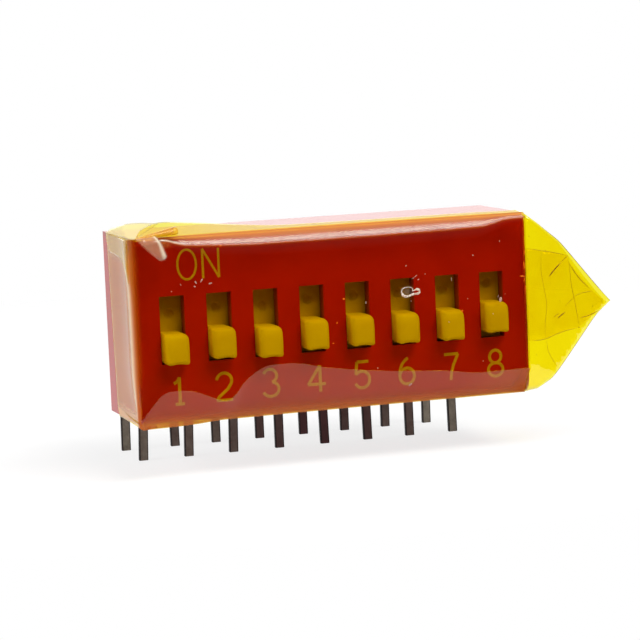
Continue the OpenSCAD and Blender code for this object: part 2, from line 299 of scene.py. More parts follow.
STROKES = {
    "O": [swing(0, 0.76, 0.50, 0.76, 90, 450, 40)],
    "N": [[(-0.44, 0), (-0.44, 1.5), (0.42, 0), (0.42, 1.5)]],
    "1": [[(-0.18, 1.14), (-0.03, 1.22), (0.07, 1.34), (0.12, 1.48), (0.12, 0)], [(-0.14, 0), (0.36, 0)]],
    "2": [swing(0, 1.08, 0.41, 0.42, 172, -28) + [(0.2, 0.62), (-0.28, 0.22), (-0.43, 0), (0.45, 0)]],
    "3": [swing(-0.03, 1.12, 0.37, 0.37, 158, -72) + swing(0, 0.38, 0.44, 0.40, 70, -158)],
    "4": [[(0.2, 0), (0.2, 1.47), (-0.48, 0.43), (0.5, 0.43)]],
    "5": [[(0.38, 1.47), (-0.27, 1.47), (-0.35, 0.76)] + swing(0.0, 0.47, 0.42, 0.47, 138, -155)],
    "6": [swing(0, 0.45, 0.41, 0.45, 90, 450, 30), swing(0.36, 0.55, 0.77, 0.98, 180, 112, 14)],
    "7": [[(-0.4, 1.47), (0.4, 1.47), (0.14, 0.9), (0.0, 0.45), (-0.05, 0)]],
    "8": [swing(0, 1.12, 0.33, 0.36, -90, 270, 30), swing(0, 0.38, 0.42, 0.38, 90, 450, 30)],
}


SHARP_TURN = math.radians(40)


def cut_at_corners(line):
    """Splits a stroke where it turns sharply, so that it keeps its width on both sides of the corner."""
    parts, begin = [], 0
    for k in range(1, len(line) - 1):
        a = Vector(line[k]) - Vector(line[k - 1])
        b = Vector(line[k + 1]) - Vector(line[k])
        if a.angle(b) > SHARP_TURN:
            parts.append(line[begin:k + 1])
            begin = k
    return parts + [line[begin:]]


def letter(name, glyph, x, foot, stroke, tall):
    """Draws a glyph's strokes on the housing's front as one raised piece of ink."""
    curve = bpy.data.curves.new(name, "CURVE")
    curve.dimensions = "3D"
    curve.bevel_depth = stroke / 2
    curve.bevel_resolution = 3
    curve.use_fill_caps = True
    for line in STROKES[glyph]:
        loop = math.dist(line[0], line[-1]) < 1e-6
        for points in [line[:-1]] if loop else cut_at_corners(line):
            spline = curve.splines.new("POLY")
            spline.points.add(len(points) - 1)
            for point, (px, pz) in zip(spline.points, points):
                point.co = (x + px, 0, foot + pz * tall, 1)
            spline.use_cyclic_u = loop
    drawn = bpy.data.objects.new(name, curve)
    bpy.context.scene.collection.objects.link(drawn)
    bpy.context.view_layer.update()
    mesh = bpy.data.meshes.new_from_object(drawn)
    bpy.data.objects.remove(drawn)
    bm = bmesh.new()
    bm.from_mesh(mesh)
    bmesh.ops.scale(bm, vec=(1, INK_DEPTH / stroke * 2, 1), verts=bm.verts)
    bmesh.ops.translate(bm, vec=(0, front_y, 0), verts=bm.verts)
    bmesh.ops.recalc_face_normals(bm, faces=bm.faces)
    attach(piece(name, bm, ink, 60), "switch_body")


for i in range(1, SWITCHES + 1):
    letter(f"legend_{i}", str(i), switch_x(i) + DIGIT_SHIFT, DIGIT_FOOT_Z, DIGIT_STROKE, DIGIT_TALL)
letter("legend_on_o", "O", switch_x(1) + O_SHIFT, WORD_FOOT_Z, WORD_STROKE, WORD_TALL)
letter("legend_on_n", "N", switch_x(1) + N_SHIFT, WORD_FOOT_Z, WORD_STROKE, WORD_TALL)

# ---------------------------------------------------------------- Base and sealant
# The slab that the leads are moulded into is black-brown PBT, pressed in from behind.
# Amber epoxy is poured over it: glossy, a little wavy, and darker where it is deep.

finish("base", moulded("pbt_moulded_black", "#1B1715", "#25201D", 0.5))

epoxy, tree = new_material("epoxy_potting_amber")
place = add(tree, "TexCoord").outputs["Object"]
flow = add(tree, "TexNoise", {"Vector": place}, Scale=1 / (2.8 * MM), Detail=2.0)
ramp = add(tree, "ValToRGB", {"Fac": flow.outputs["Fac"]})
ramp.color_ramp.elements[0].position, ramp.color_ramp.elements[1].position = 0.3, 0.7
ramp.color_ramp.elements[0].color = linear("#3A1E0C")
ramp.color_ramp.elements[1].color = linear("#6B3A16")
swell = add(tree, "Bump", {"Height": flow.outputs["Fac"]}, Strength=0.6, Distance=0.12 * MM)
resin = add(tree, "BsdfPrincipled", {"Base Color": ramp.outputs["Color"], "Normal": swell.outputs["Normal"]},
            Roughness=0.12, IOR=1.55)
add(tree, "OutputMaterial", {"Surface": resin.outputs[0]})
finish("sealant", epoxy)

# ---------------------------------------------------------------- Terminals
# Strips punched from tinned brass, with a wide pad in the base, bent back and down to two rows
# of pins. The tin has gone dull brown-grey, darker at the sheared edges, and each pin leans a bit.

LEAD_W, LEAD_T = 0.50, 0.25
PAD_W = 0.90
# Heights between which the pads stand, and where the strips start behind them
LOWER_PAD, UPPER_PAD = (2.65, 5.05), (6.55, 7.05)
LOWER_START, UPPER_START = 5.0, 6.6
# The bends' inner radius, and how far from the housing's top or bottom the strips come out
BEND_IN, EXIT_IN = 0.20, 1.35
EDGE_EASE, RUB, TIP = 0.035, 0.075, 0.07
# How much painted shade each pin has from left to right, as a share, and how far its tip leans to the right
FRONT_PIN_SHADE = (0.3, 0.5, 0.6, 0.85, 1.0, 0.9, 0.65, 0.1)
BACK_PIN_SHADE = (0.1, 0.6, 0.55, 0.85, 1.0, 0.85, 0.65, 0.05)
FRONT_LEAN = (-0.15, -0.12, -0.11, 0.0, 0.10, 0.09, 0.04, 0.08)
BACK_LEAN = (-0.14, 0.15, 0.0, 0.03, 0.09, 0.02, -0.06, -0.09)

tin, tree = new_material("tinned_brass_dull")
place = add(tree, "TexCoord").outputs["Object"]
blotch = add(tree, "TexNoise", {"Vector": place}, Scale=1 / (0.5 * MM), Detail=5.0, Roughness=0.65)
drawn = add(tree, "Mapping", {"Vector": place}, Scale=(1, 1, 0.12))
lines = add(tree, "TexNoise", {"Vector": drawn.outputs[0]}, Scale=1 / (0.07 * MM), Detail=2.0)
edges = add(tree, "Attribute", attribute_name="sheared")
ramp = add(tree, "ValToRGB", {"Fac": blotch.outputs["Fac"]})
ramp.color_ramp.elements[0].position, ramp.color_ramp.elements[1].position = 0.3, 0.7
ramp.color_ramp.elements[0].color = linear("#6E665A")
ramp.color_ramp.elements[1].color = linear("#958C7E")
# Painted shade and reflection: the middle pins are painted darker and redder, as under the red body, and the
# end pins lighter
painted_pin_shade = add(tree, "Attribute", attribute_name="painted_pin_shade")
pin_shaded = add(tree, "Mix", {0: painted_pin_shade.outputs["Fac"], 6: ramp.outputs["Color"]}, data_type="RGBA",
              _7=linear("#4E3030"))
darker = add(tree, "Mix", {0: edges.outputs["Fac"], 6: pin_shaded.outputs[2]}, data_type="RGBA",
             _7=linear("#1E1315"))
rough = add(tree, "MapRange", {"Value": lines.outputs["Fac"]}, To_Min=0.38, To_Max=0.58)
scratch = add(tree, "Bump", {"Height": lines.outputs["Fac"]}, Strength=0.4, Distance=0.004 * MM)
plating = add(tree, "BsdfPrincipled", {"Base Color": darker.outputs[2], "Roughness": rough.outputs["Result"],
                                       "Normal": scratch.outputs["Normal"]}, Metallic=0.75)
add(tree, "OutputMaterial", {"Surface": plating.outputs[0]})


def block(bm, size, middle):
    """Adds a box, by its size and its middle."""
    corners = bmesh.ops.create_cube(bm, size=1.0)["verts"]
    bmesh.ops.scale(bm, vec=size, verts=corners)
    bmesh.ops.translate(bm, vec=middle, verts=corners)


def cut(bm, at, normal, geom=None):
    """Cuts faces along a plane without parting them."""
    bmesh.ops.bisect_plane(bm, geom=geom or bm.verts[:] + bm.edges[:] + bm.faces[:], dist=1e-6, plane_co=at,
                           plane_no=normal)


def soften(bm, edges, r, segments):
    """Rounds edges."""
    bmesh.ops.bevel(bm, geom=edges, offset=r, segments=segments, affect="EDGES", profile=0.5, material=-1)


def run(bm, end, vec):
    """Carries the strip's end face on in a straight line, and returns its new end."""
    made = bmesh.ops.extrude_face_region(bm, geom=[end])["geom"]
    bmesh.ops.delete(bm, geom=[end], context="FACES_ONLY")
    bmesh.ops.translate(bm, vec=vec, verts=[g for g in made if isinstance(g, bmesh.types.BMVert)])
    return next(g for g in made if isinstance(g, bmesh.types.BMFace))


def bend(bm, end, centre, angle, steps=8):
    """Carries the strip's end face round a line along X, and returns its new end."""
    made = bmesh.ops.spin(bm, geom=[end], cent=centre, axis=(1, 0, 0), angle=math.radians(angle), steps=steps)
    bmesh.ops.delete(bm, geom=[end], context="FACES_ONLY")
    return next(g for g in made["geom_last"] if isinstance(g, bmesh.types.BMFace))


def lead(name, lean, pin_shade_share):
    """One terminal in the place of its CAD node, from the pad in the base to the pin's tip."""
    low, high = (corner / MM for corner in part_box(name))
    x = (low.x + high.x) / 2
    upper = name.startswith("upper")
    exit_z = house_high.z - EXIT_IN if upper else EXIT_IN
    turn_r = BEND_IN + LEAD_T / 2
    pad_y, pin_y = low.y + LEAD_T / 2, high.y - LEAD_T / 2

    def leaning(spot):
        """How far the strip stands aside at a place, where its pin leans."""
        in_pin = spot.y > house_high.y and spot.z < exit_z
        return lean * (exit_z - spot.z) / (exit_z - low.z) if in_pin else 0.0

    bm = bmesh.new()
    start_z = UPPER_START if upper else LOWER_START
    bmesh.ops.create_grid(bm, x_segments=1, y_segments=1, size=0.5)
    bmesh.ops.scale(bm, vec=(LEAD_W, LEAD_T, 1), verts=bm.verts)
    bmesh.ops.translate(bm, vec=(x, pad_y, start_z), verts=bm.verts)
    end = bm.faces[:][0]
    way = 1 if upper else -1
    end = run(bm, end, (0, 0, exit_z - way * turn_r - start_z))
    end = bend(bm, end, (x, pad_y + turn_r, exit_z - way * turn_r), -90 * way)
    end = run(bm, end, (0, pin_y - pad_y - 2 * turn_r, 0))
    end = bend(bm, end, (x, pin_y - turn_r, exit_z - turn_r), -90)
    end = run(bm, end, (0, 0, low.z + TIP - (exit_z - turn_r)))
    end = run(bm, end, (0, 0, -TIP))
    bmesh.ops.holes_fill(bm, edges=bm.edges)
    bmesh.ops.recalc_face_normals(bm, faces=bm.faces)
    long_edges = [e for e in bm.edges if e.is_manifold and e.calc_face_angle(0) > 1.2]
    soften(bm, long_edges, EDGE_EASE, 2)
    for side in (-1, 1):
        cut(bm, (x + side * (LEAD_W / 2 - RUB), 0, 0), (1, 0, 0))
    for v in bm.verts:
        v.co.x += leaning(v.co)
    pad_low, pad_high = UPPER_PAD if upper else LOWER_PAD
    block(bm, (PAD_W, LEAD_T, pad_high - pad_low), (x, pad_y, (pad_low + pad_high) / 2))
    sheared, painted_pin_shade = (bm.verts.layers.float.new(name) for name in ("sheared", "painted_pin_shade"))
    for v in bm.verts:
        at_side = abs(v.co.x - x - leaning(v.co)) > LEAD_W / 2 - EDGE_EASE - 0.005
        v[sheared] = 1.0 if at_side or v.co.z < low.z + 0.01 else 0.0
        v[painted_pin_shade] = pin_shade_share
    obj = piece(name + "_strip", bm, tin, 35)
    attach(obj, "switch_body")
    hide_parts(name)


for i in range(1, SWITCHES + 1):
    lead(f"lower_terminal_{i}", FRONT_LEAN[i - 1], FRONT_PIN_SHADE[i - 1])
    lead(f"upper_terminal_{i}", BACK_LEAN[i - 1], BACK_PIN_SHADE[i - 1])

# ---------------------------------------------------------------- Spring contacts
# One bowed strip of phosphor bronze in the pocket of each slider, plated with gold.
# Bright and smooth, with faint drawing lines along the strip.

gold, tree = new_material("gold_plated_bronze")
place = add(tree, "TexCoord").outputs["Object"]
drawn = add(tree, "Mapping", {"Vector": place}, Scale=(1, 1, 0.1))
lines = add(tree, "TexNoise", {"Vector": drawn.outputs[0]}, Scale=1 / (0.05 * MM), Detail=2.0)
ramp = add(tree, "ValToRGB", {"Fac": lines.outputs["Fac"]})
ramp.color_ramp.elements[0].color = linear("#C79A48")
ramp.color_ramp.elements[1].color = linear("#E8C277")
rough = add(tree, "MapRange", {"Value": lines.outputs["Fac"]}, To_Min=0.18, To_Max=0.34)
plate = add(tree, "BsdfPrincipled", {"Base Color": ramp.outputs["Color"],
                                     "Roughness": rough.outputs["Result"]}, Metallic=1.0)
add(tree, "OutputMaterial", {"Surface": plate.outputs[0]})
for i in range(1, SWITCHES + 1):
    finish(f"contact_{i}", gold)

# ---------------------------------------------------------------- Sliders
# A knob that stands out of the slot, the plate that closes the slot behind it, and a block
# that carries the contact. Golden-yellow nylon, satin, with soft edges and a sunk ejector mark.

# The last hex is the colour of the shade painted on the sliders
yellow_nylon = moulded("nylon_moulded_yellow", "#C5A121", "#CDAB2E", 0.46, 0.10, 0.008, "#8A2C0A")
KNOB_W, KNOB_H, KNOB_OUT = 1.30, 1.63, 0.90
HIGH_LEFT_R, HIGH_RIGHT_R, LOW_LEFT_R, LOW_RIGHT_R = 0.14, 0.34, 0.34, 0.14
# The face is rounded at its edges, a little crowned, and falls back at its top and at its left
FACE_R, FACE_CROWN, TOP_CROWN, LEFT_SOFT = 0.20, 0.05, 0.19, 0.10
KNOB_CELLS = 12
# Depths of the plate's faces behind the housing's front, and the height of the block behind it
PLATE_FRONT, PLATE_BACK = 0.75, 1.45
BLOCK_H = 3.18
UNDERSIDE_ARCH, ARCH_FROM = 0.05, 0.35
# The ejector mark, over the slider's middle, and the cells that the plate is cut to around it
MARK_R, MARK_DEPTH, MARK_OVER = 0.25, 0.12, 1.745
MARK_CELL, MARK_CELLS = 0.055, 6
# How much shade is painted on the plate at its top, in its sunk mark, and on the knob at its left foot
PLATE_SHADE, MARK_SHADE, SIDE_SHADE = 0.66, 0.17, 0.25


def smooth(start, end, value):
    """0 at start, 1 at end, and eased between; start may be the higher."""
    u = max(0.0, min(1.0, (value - start) / (end - start)))
    return u * u * (3 - 2 * u)


def slider(i):
    """One slider in the place of its CAD node."""
    low, high = (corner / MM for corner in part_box(f"slider_{i}"))
    x, middle = (low.x + high.x) / 2, (low.z + high.z) / 2
    foot = middle - KNOB_H / 2
    bm = bmesh.new()
    depth = KNOB_OUT + PLATE_FRONT + 0.01
    block(bm, (KNOB_W, depth, KNOB_H), (x, front_y - KNOB_OUT + depth / 2, middle))
    for r, left, upper in ((HIGH_LEFT_R, True, True), (HIGH_RIGHT_R, False, True),
                           (LOW_LEFT_R, True, False), (LOW_RIGHT_R, False, False)):
        corner = []
        for e in bm.edges:
            near, far = (v.co for v in e.verts)
            out = abs(near.x - x) > KNOB_W / 2 - 0.05 and abs(near.z - middle) > KNOB_H / 2 - 0.01
            if out and abs(near.y - far.y) > 0.5 and (near.x < x) == left and (near.z > middle) == upper:
                corner.append(e)
        soften(bm, corner, r, 8)
    face = min(bm.faces, key=lambda f: f.calc_center_median().y)
    soften(bm, face.edges[:], FACE_R, 7)
    for k in range(1 - KNOB_CELLS // 2, KNOB_CELLS // 2):
        cut(bm, (x + k * KNOB_W / KNOB_CELLS, 0, 0), (1, 0, 0))
        cut(bm, (0, 0, middle + k * KNOB_H / KNOB_CELLS), (0, 0, 1))
    for v in bm.verts:
        across, along = (v.co.x - x) / (KNOB_W / 2), (v.co.z - middle) / (KNOB_H / 2)
        out = max(0.0, min(1.0, (front_y - v.co.y) / KNOB_OUT + 0.3))
        v.co.y += (FACE_CROWN * (across ** 2 + along ** 2) / 2 + TOP_CROWN * max(0.0, along) ** 2.5) * out
        v.co.y += LEFT_SOFT * smooth(-0.45, -1.0, across) * out
        near_foot = max(0.0, 1 - (v.co.z - foot) / ARCH_FROM)
        v.co.z += UNDERSIDE_ARCH * near_foot * out * (math.cos(across * math.pi * 0.9) * 0.8 + 0.35 * across)
        v.co.z = max(v.co.z, foot)
    knob_verts = set(bm.verts)
    for near, far, height in ((PLATE_FRONT, PLATE_BACK, high.z - low.z),
                              (PLATE_BACK - 0.01, high.y - front_y, BLOCK_H)):
        block(bm, (high.x - low.x, far - near, height), (x, front_y + (near + far) / 2, middle))
    mark_z = middle + MARK_OVER
    plate_y = front_y + PLATE_FRONT
    for k in range(-MARK_CELLS, MARK_CELLS + 1):
        upright = (x + k * MARK_CELL, 0, 0), (1, 0, 0)
        level = (0, 0, mark_z + k * MARK_CELL), (0, 0, 1)
        for at, normal in (upright, level):
            skin = [f for f in bm.faces
                    if all(abs(v.co.y - plate_y) < 1e-4 and v not in knob_verts for v in f.verts)]
            edges, corners = {e for f in skin for e in f.edges}, {v for f in skin for v in f.verts}
            cut(bm, at, normal, skin + list(edges) + list(corners))
    # Painted shade: the plate darkens towards its top and right, where the slot's edges shade it, and in its
    # sunk mark; the knob darkens on its left side towards its foot
    shade_layer = bm.verts.layers.float.new("painted_shade")
    for v in bm.verts:
        if v.co.y < plate_y - 1e-3:
            at_left = smooth(-0.55, -0.65, v.co.x - x) * smooth(0.2, -0.5, v.co.z - middle)
            v[shade_layer] = SIDE_SHADE * at_left
        elif v.co.y < plate_y + 1e-4:
            off = math.hypot(v.co.x - x, v.co.z - mark_z)
            over = v.co.z - middle - 0.3 * (v.co.x - x)
            shade = smooth(1.0, 2.75, over + 0.6 * smooth(-0.5, 0.8, v.co.x - x))
            v[shade_layer] = PLATE_SHADE * shade + MARK_SHADE * max(0.0, min(1.0, (MARK_R + 0.16 - off) / 0.32))
            v.co.y += MARK_DEPTH * max(0.0, min(1.0, (MARK_R + 0.02 - off) / 0.05))
    obj = piece(f"slider_{i}_moulding", bm, yellow_nylon, 50)
    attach(obj, f"switch_{i}")
    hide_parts(f"slider_{i}")


for i in range(1, SWITCHES + 1):
    slider(i)

# ---------------------------------------------------------------- Sealing film
# Amber polyimide tape, pulled flat over the knobs so that no washing fluid gets in. It turns over
# the top and round the left end, slopes back to the bottom edge, and is pinched at the corners.
# It is clear and sharply glossy. Its highlights and sheen are painted on in white, and reflections of the red
# housing and the floor in orange, and where the orange haze lies its gloss is blurred.

FILM_T = 0.05
FILM_IOR = 1.65

amber, tree = new_material("polyimide_film_amber")
place = add(tree, "TexCoord").outputs["Object"]
glue = add(tree, "TexNoise", {"Vector": place}, Scale=1 / (1.6 * MM), Detail=3.0)
ramp = add(tree, "ValToRGB", {"Fac": glue.outputs["Fac"]})
ramp.color_ramp.elements[0].position, ramp.color_ramp.elements[1].position = 0.3, 0.75
ramp.color_ramp.elements[0].color = linear("#FDF33E")
ramp.color_ramp.elements[1].color = linear("#FBEE3A")
ripple = add(tree, "TexNoise", {"Vector": place}, Scale=1 / (0.5 * MM), Detail=2.0)
skin = add(tree, "Bump", {"Height": ripple.outputs["Fac"]}, Strength=0.14, Distance=0.006 * MM)
dyed = add(tree, "BsdfTransparent", {"Color": ramp.outputs["Color"]})
haze_share = add(tree, "Attribute", attribute_name="haze")
blurred = add(tree, "MapRange", {"Value": haze_share.outputs["Fac"]}, To_Min=0.07, To_Max=0.6)
shine = add(tree, "BsdfGlossy", {"Normal": skin.outputs["Normal"], "Roughness": blurred.outputs["Result"]},
            Color=linear("#E8E1DA"))
angle = add(tree, "Fresnel", {"Normal": skin.outputs["Normal"]}, IOR=FILM_IOR)
outer = add(tree, "MixShader", {0: angle.outputs[0], 1: dyed.outputs[0], 2: shine.outputs[0]})
clear = add(tree, "BsdfTransparent", Color=(1, 1, 1, 1))
inside = add(tree, "NewGeometry").outputs["Backfacing"]
# Painted light: the cream white stands for highlights and sheen, and the two oranges for reflections of the
# red housing and the floor
painted_reflection_haze = add(tree, "BsdfDiffuse", Color=linear("#FAA359"))
painted_reflection_mist = add(tree, "BsdfDiffuse", Color=linear("#B65208"))
painted_highlight = add(tree, "BsdfDiffuse", Color=linear("#F1E4C8"))
hazed = add(tree, "MixShader", {0: haze_share.outputs["Fac"], 1: outer.outputs[0], 2: painted_reflection_haze.outputs[0]})
misted = add(tree, "MixShader", {0: add(tree, "Attribute", attribute_name="mist").outputs["Fac"],
                                 1: hazed.outputs[0], 2: painted_reflection_mist.outputs[0]})
painted_white = add(tree, "MixShader", {0: add(tree, "Attribute", attribute_name="white").outputs["Fac"],
                                   1: misted.outputs[0], 2: painted_highlight.outputs[0]})
both = add(tree, "MixShader", {0: inside, 1: painted_white.outputs[0], 2: clear.outputs[0]})
add(tree, "OutputMaterial", {"Surface": both.outputs[0]})

# The flat front stands where the CAD tape's front does, and the top lies a hair over the housing.
# At the right the hood ends over the start of the tab, and at its rear it leans forward to its foot.
WALL_Y = (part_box("tape")[0] / MM).y
TOP_Z = house_high.z + 0.09
SEAM_X = house_high.x - 0.26
REAR_SLANT = 0.65

# The film's line round the left end, seen from above: along the side, out past the corner and
# round it to the flat front, as (way along it, x) and (way along it, y)
ROUND_X = ((0.0, -10.90), (1.4, -10.93), (2.7, -10.97), (3.8, -11.05), (4.75, -11.15), (5.2, -11.14),
           (5.62, -11.03), (6.0, -10.84), (6.4, -10.50), (6.82, -10.10), (7.4, -9.52))
ROUND_Y = ((0.0, -3.60), (1.4, -5.00), (2.7, -6.30), (3.8, -7.40), (4.75, -8.35), (5.2, -8.80),
           (5.62, -9.20), (6.0, -9.53), (6.4, -9.75), (6.82, -9.815), (7.4, -9.815))
# The same where the film comes to a sharp corner, at the foot
SHARP_X = ((0.0, -10.90), (1.4, -10.91), (2.7, -10.93), (3.8, -10.95), (4.75, -10.99), (5.2, -11.02),
           (5.62, -11.05), (6.0, -11.00), (6.4, -10.60), (6.82, -10.10), (7.4, -9.52))
SHARP_Y = ((0.0, -3.60), (1.4, -5.00), (2.7, -6.30), (3.8, -7.40), (4.75, -8.40), (5.2, -8.95),
           (5.62, -9.45), (6.0, -9.78), (6.4, -9.815), (6.82, -9.815), (7.4, -9.815))
ROUND_END = 6.82

# Heights and depths of the folds along the row: (x, value) in millimetres
CREASE_Z = ((-11.05, 0.2), (-10.88, 0.39), (-10.59, 0.78), (-10.31, 1.17), (-10.14, 1.37), (-9.97, 1.56),
            (-9.75, 1.70), (-9.48, 1.78), (-8.94, 1.79), (-8.14, 1.67), (-7.3, 1.33),
            (-6.5, 1.05), (-6.0, 1.27), (-5.37, 2.01), (-4.69, 2.48), (-3.97, 2.73), (-2.71, 2.73),
            (-0.74, 2.31), (2.25, 1.9), (5.97, 1.59), (7.51, 1.36), (10.75, 1.38))
FOOT_IN = ((-11.05, 0.03), (-10.59, 0.12), (-10.14, 0.26), (-9.2, 0.42), (-8.2, 0.58), (-7.2, 0.74),
           (-6.0, 0.88), (10.75, 0.92))
FOOT_Z = ((-10.94, -0.09), (-9.0, -0.12), (-7.8, -0.10), (-6.5, -0.04), (10.75, -0.02))
BEND_Z = ((-10.94, 9.5), (-9.6, 9.6), (-9.25, 9.56), (-8.81, 9.4), (-8.2, 9.26), (-6.7, 9.17), (-4.55, 9.09),
          (2.05, 9.08), (7.98, 9.15), (8.7, 9.28), (9.36, 9.44), (10.11, 9.48), (10.75, 9.5))
LIFT = ((-10.94, 0.5), (-9.03, 0.60), (-7.79, 0.50), (-5.89, 0.36), (-4.0, 0.26), (-2.3, 0.2), (10.75, 0.18))
TOP_FLAP = ((-11.0, 0.0), (-10.88, 0.05), (-10.5, 0.95), (-10.1, 1.35), (-9.7, 1.7), (-9.35, 1.9),
            (-8.6, 1.95), (-6.8, 1.9), (-4.5, 1.3), (-2.3, 0.75), (10.75, 0.6))
FOOT_FLAP = ((-10.94, 0.8), (-10.6, 0.5), (-10.2, 0.9), (-9.2, 1.9), (-6.0, 1.6), (10.75, 1.5))


def read(table, x):
    """Value of a table at x, on a smooth curve through its points."""
    if x <= table[0][0]:
        return table[0][1]
    for k in range(len(table) - 1):
        if x <= table[k + 1][0]:
            break
    else:
        return table[-1][1]
    (x0, y0), (x1, y1) = table[k], table[k + 1]
    before = table[max(k - 1, 0)]
    after = table[min(k + 2, len(table) - 1)]
    m0 = (y1 - before[1]) / max(x1 - before[0], 1e-6)
    m1 = (after[1] - y0) / max(after[0] - x0, 1e-6)
    if (y1 - y0) * m0 <= 0 or k == 0:
        m0 = 0 if y1 == y0 or k else (y1 - y0) / (x1 - x0)
    if (y1 - y0) * m1 <= 0:
        m1 = 0
    w, u = x1 - x0, (x - x0) / (x1 - x0)
    return (y0 * (1 + 2 * u) * (1 - u) ** 2 + m0 * w * u * (1 - u) ** 2
            + y1 * u * u * (3 - 2 * u) + m1 * w * u * u * (u - 1))


# The pinch at the top left corner: a flattened pleat, with its outline and the ridge down it
PINCH = ((-10.94, 9.86), (-10.52, 9.38), (-10.13, 8.98), (-9.67, 8.59), (-9.45, 8.67), (-9.34, 8.82),
         (-9.48, 9.24), (-9.67, 9.62), (-9.87, 9.89))
PINCH_RIDGE = ((-9.84, 9.83), (-9.64, 9.39), (-9.53, 9.03), (-9.44, 8.76))
PINCH_H, RIDGE_H, RIDGE_W = 0.12, 0.05, 0.07
# The pinch lies to the left of PINCH_X and above PINCH_Z
PINCH_X, PINCH_Z = -9.0, 8.3
WAVE_H = 0.006
# Blisters as (x, z, half width, half height, how proud)
BLISTERS = ((3.66, 5.96, 0.24, 0.20, 0.06), (4.12, 5.94, 0.16, 0.10, 0.04), (3.95, 6.45, 0.08, 0.34, 0.02))


def from_line(spot, points):
    """Distance of a spot from a line of points, and the share of the line before the nearest place."""
    best = (1e9, 0.0)
    for k, (a, b) in enumerate(zip(points, points[1:])):
        a, b = Vector(a), Vector(b)
        share = max(0.0, min(1.0, (spot - a).dot(b - a) / (b - a).length_squared))
        best = min(best, ((spot - a.lerp(b, share)).length, (k + share) / (len(points) - 1)))
    return best


def in_pinch(x, z):
    """Depth inside the pinch's outline in millimetres, negative outside it."""
    inside = False
    for a, b in zip(PINCH, PINCH[1:] + PINCH[:1]):
        if (a[1] > z) != (b[1] > z) and x < a[0] + (b[0] - a[0]) * (z - a[1]) / (b[1] - a[1]):
            inside = not inside
    away = from_line(Vector((x, z)), PINCH + PINCH[:1])[0]
    return away if inside else -away


def relief(x, z):
    """How far the flat front of the film stands out at a point: the pinch, a blister and slight waves."""
    h = WAVE_H * noise.noise(Vector((x * 0.45, z * 0.6, 3.1)))
    if x < PINCH_X and z > PINCH_Z:
        ridge = from_line(Vector((x, z)), PINCH_RIDGE)[0]
        h += PINCH_H * smooth(-0.04, 0.16, in_pinch(x, z)) + RIDGE_H * math.exp(-(ridge / RIDGE_W) ** 2)
    for bx, bz, rx, rz, tall in BLISTERS:
        h += tall * math.exp(-((x - bx) / rx) ** 2 - ((z - bz) / rz) ** 2)
    return h


def round_end(s, xs=ROUND_X, ys=ROUND_Y):
    """Place and way in on the film's line at a distance along it."""
    x, y = read(xs, s), read(ys, s)
    dx = read(xs, s + 0.02) - read(xs, max(s - 0.02, 0))
    dy = read(ys, s + 0.02) - read(ys, max(s - 0.02, 0))
    return x, y, Vector((-dy, dx)).normalized()


def end_place(s, z):
    """The same at a height: towards the foot the film comes to a sharp corner."""
    x, y, inward = round_end(s)
    sharp_x, sharp_y, sharp_in = round_end(s, SHARP_X, SHARP_Y)
    sharp = smooth(3.2, 0.1, z)
    return x + (sharp_x - x) * sharp, y + (sharp_y - y) * sharp, inward.lerp(sharp_in, sharp).normalized()


# Columns of the hood: round the end, closer towards the corner, then fine across the pinch
END_COLUMNS, FINE_COLUMNS = 44, 30
FINE_CELL, COARSE_CELL = 0.07, 0.18
END_STEPS = [ROUND_END * (1 - (1 - k / END_COLUMNS) ** 1.35) for k in range(END_COLUMNS)]


def plan_points():
    """Places round the hood from its rear edge at the left to the seam of the tab: x, y and the way in."""
    for s in END_STEPS:
        yield round_end(s)
    start = read(ROUND_X, ROUND_END)
    for k in range(FINE_COLUMNS):
        yield start + FINE_CELL * k, WALL_Y, Vector((0, 1))
    start += FINE_CELL * FINE_COLUMNS
    coarse = round((SEAM_X - start) / COARSE_CELL)
    for k in range(coarse + 1):
        yield start + (SEAM_X - start) * k / coarse, WALL_Y, Vector((0, 1))


# Over the top edge the film turns through a wide bend to its shoulder and a tight one to the flap.
# BEND_Z is where the wide bend has turned by STRIPE, and the shoulder is SHOULDER_RISE below the top.
STRIPE, SHOULDER = math.radians(25), math.radians(56)
SHOULDER_RISE = 0.06
# The fold at the foot, how much lower it and the bottom flap lie, and how low that flap ends
FOLD_R, BELOW, FLAP_SAG = 0.05, 0.02, 0.03
# Length of the top flap that its lift is measured over
FLAP_LONG = 1.95
# The front's rows are closer above this height, or from FINE_UNDER below the bend where that is lower
FINE_Z, FINE_UNDER = 8.2, 0.6
# Rows of the section: bottom flap, its fold, the slope, the front below and above, both bends, top flap
FOOT_ROWS, FOLD_ROWS, SLOPE_ROWS, FRONT_ROWS, WIDE_ROWS, TIGHT_ROWS, FLAP_ROWS = 7, 4, 12, 30, 22, 9, 12


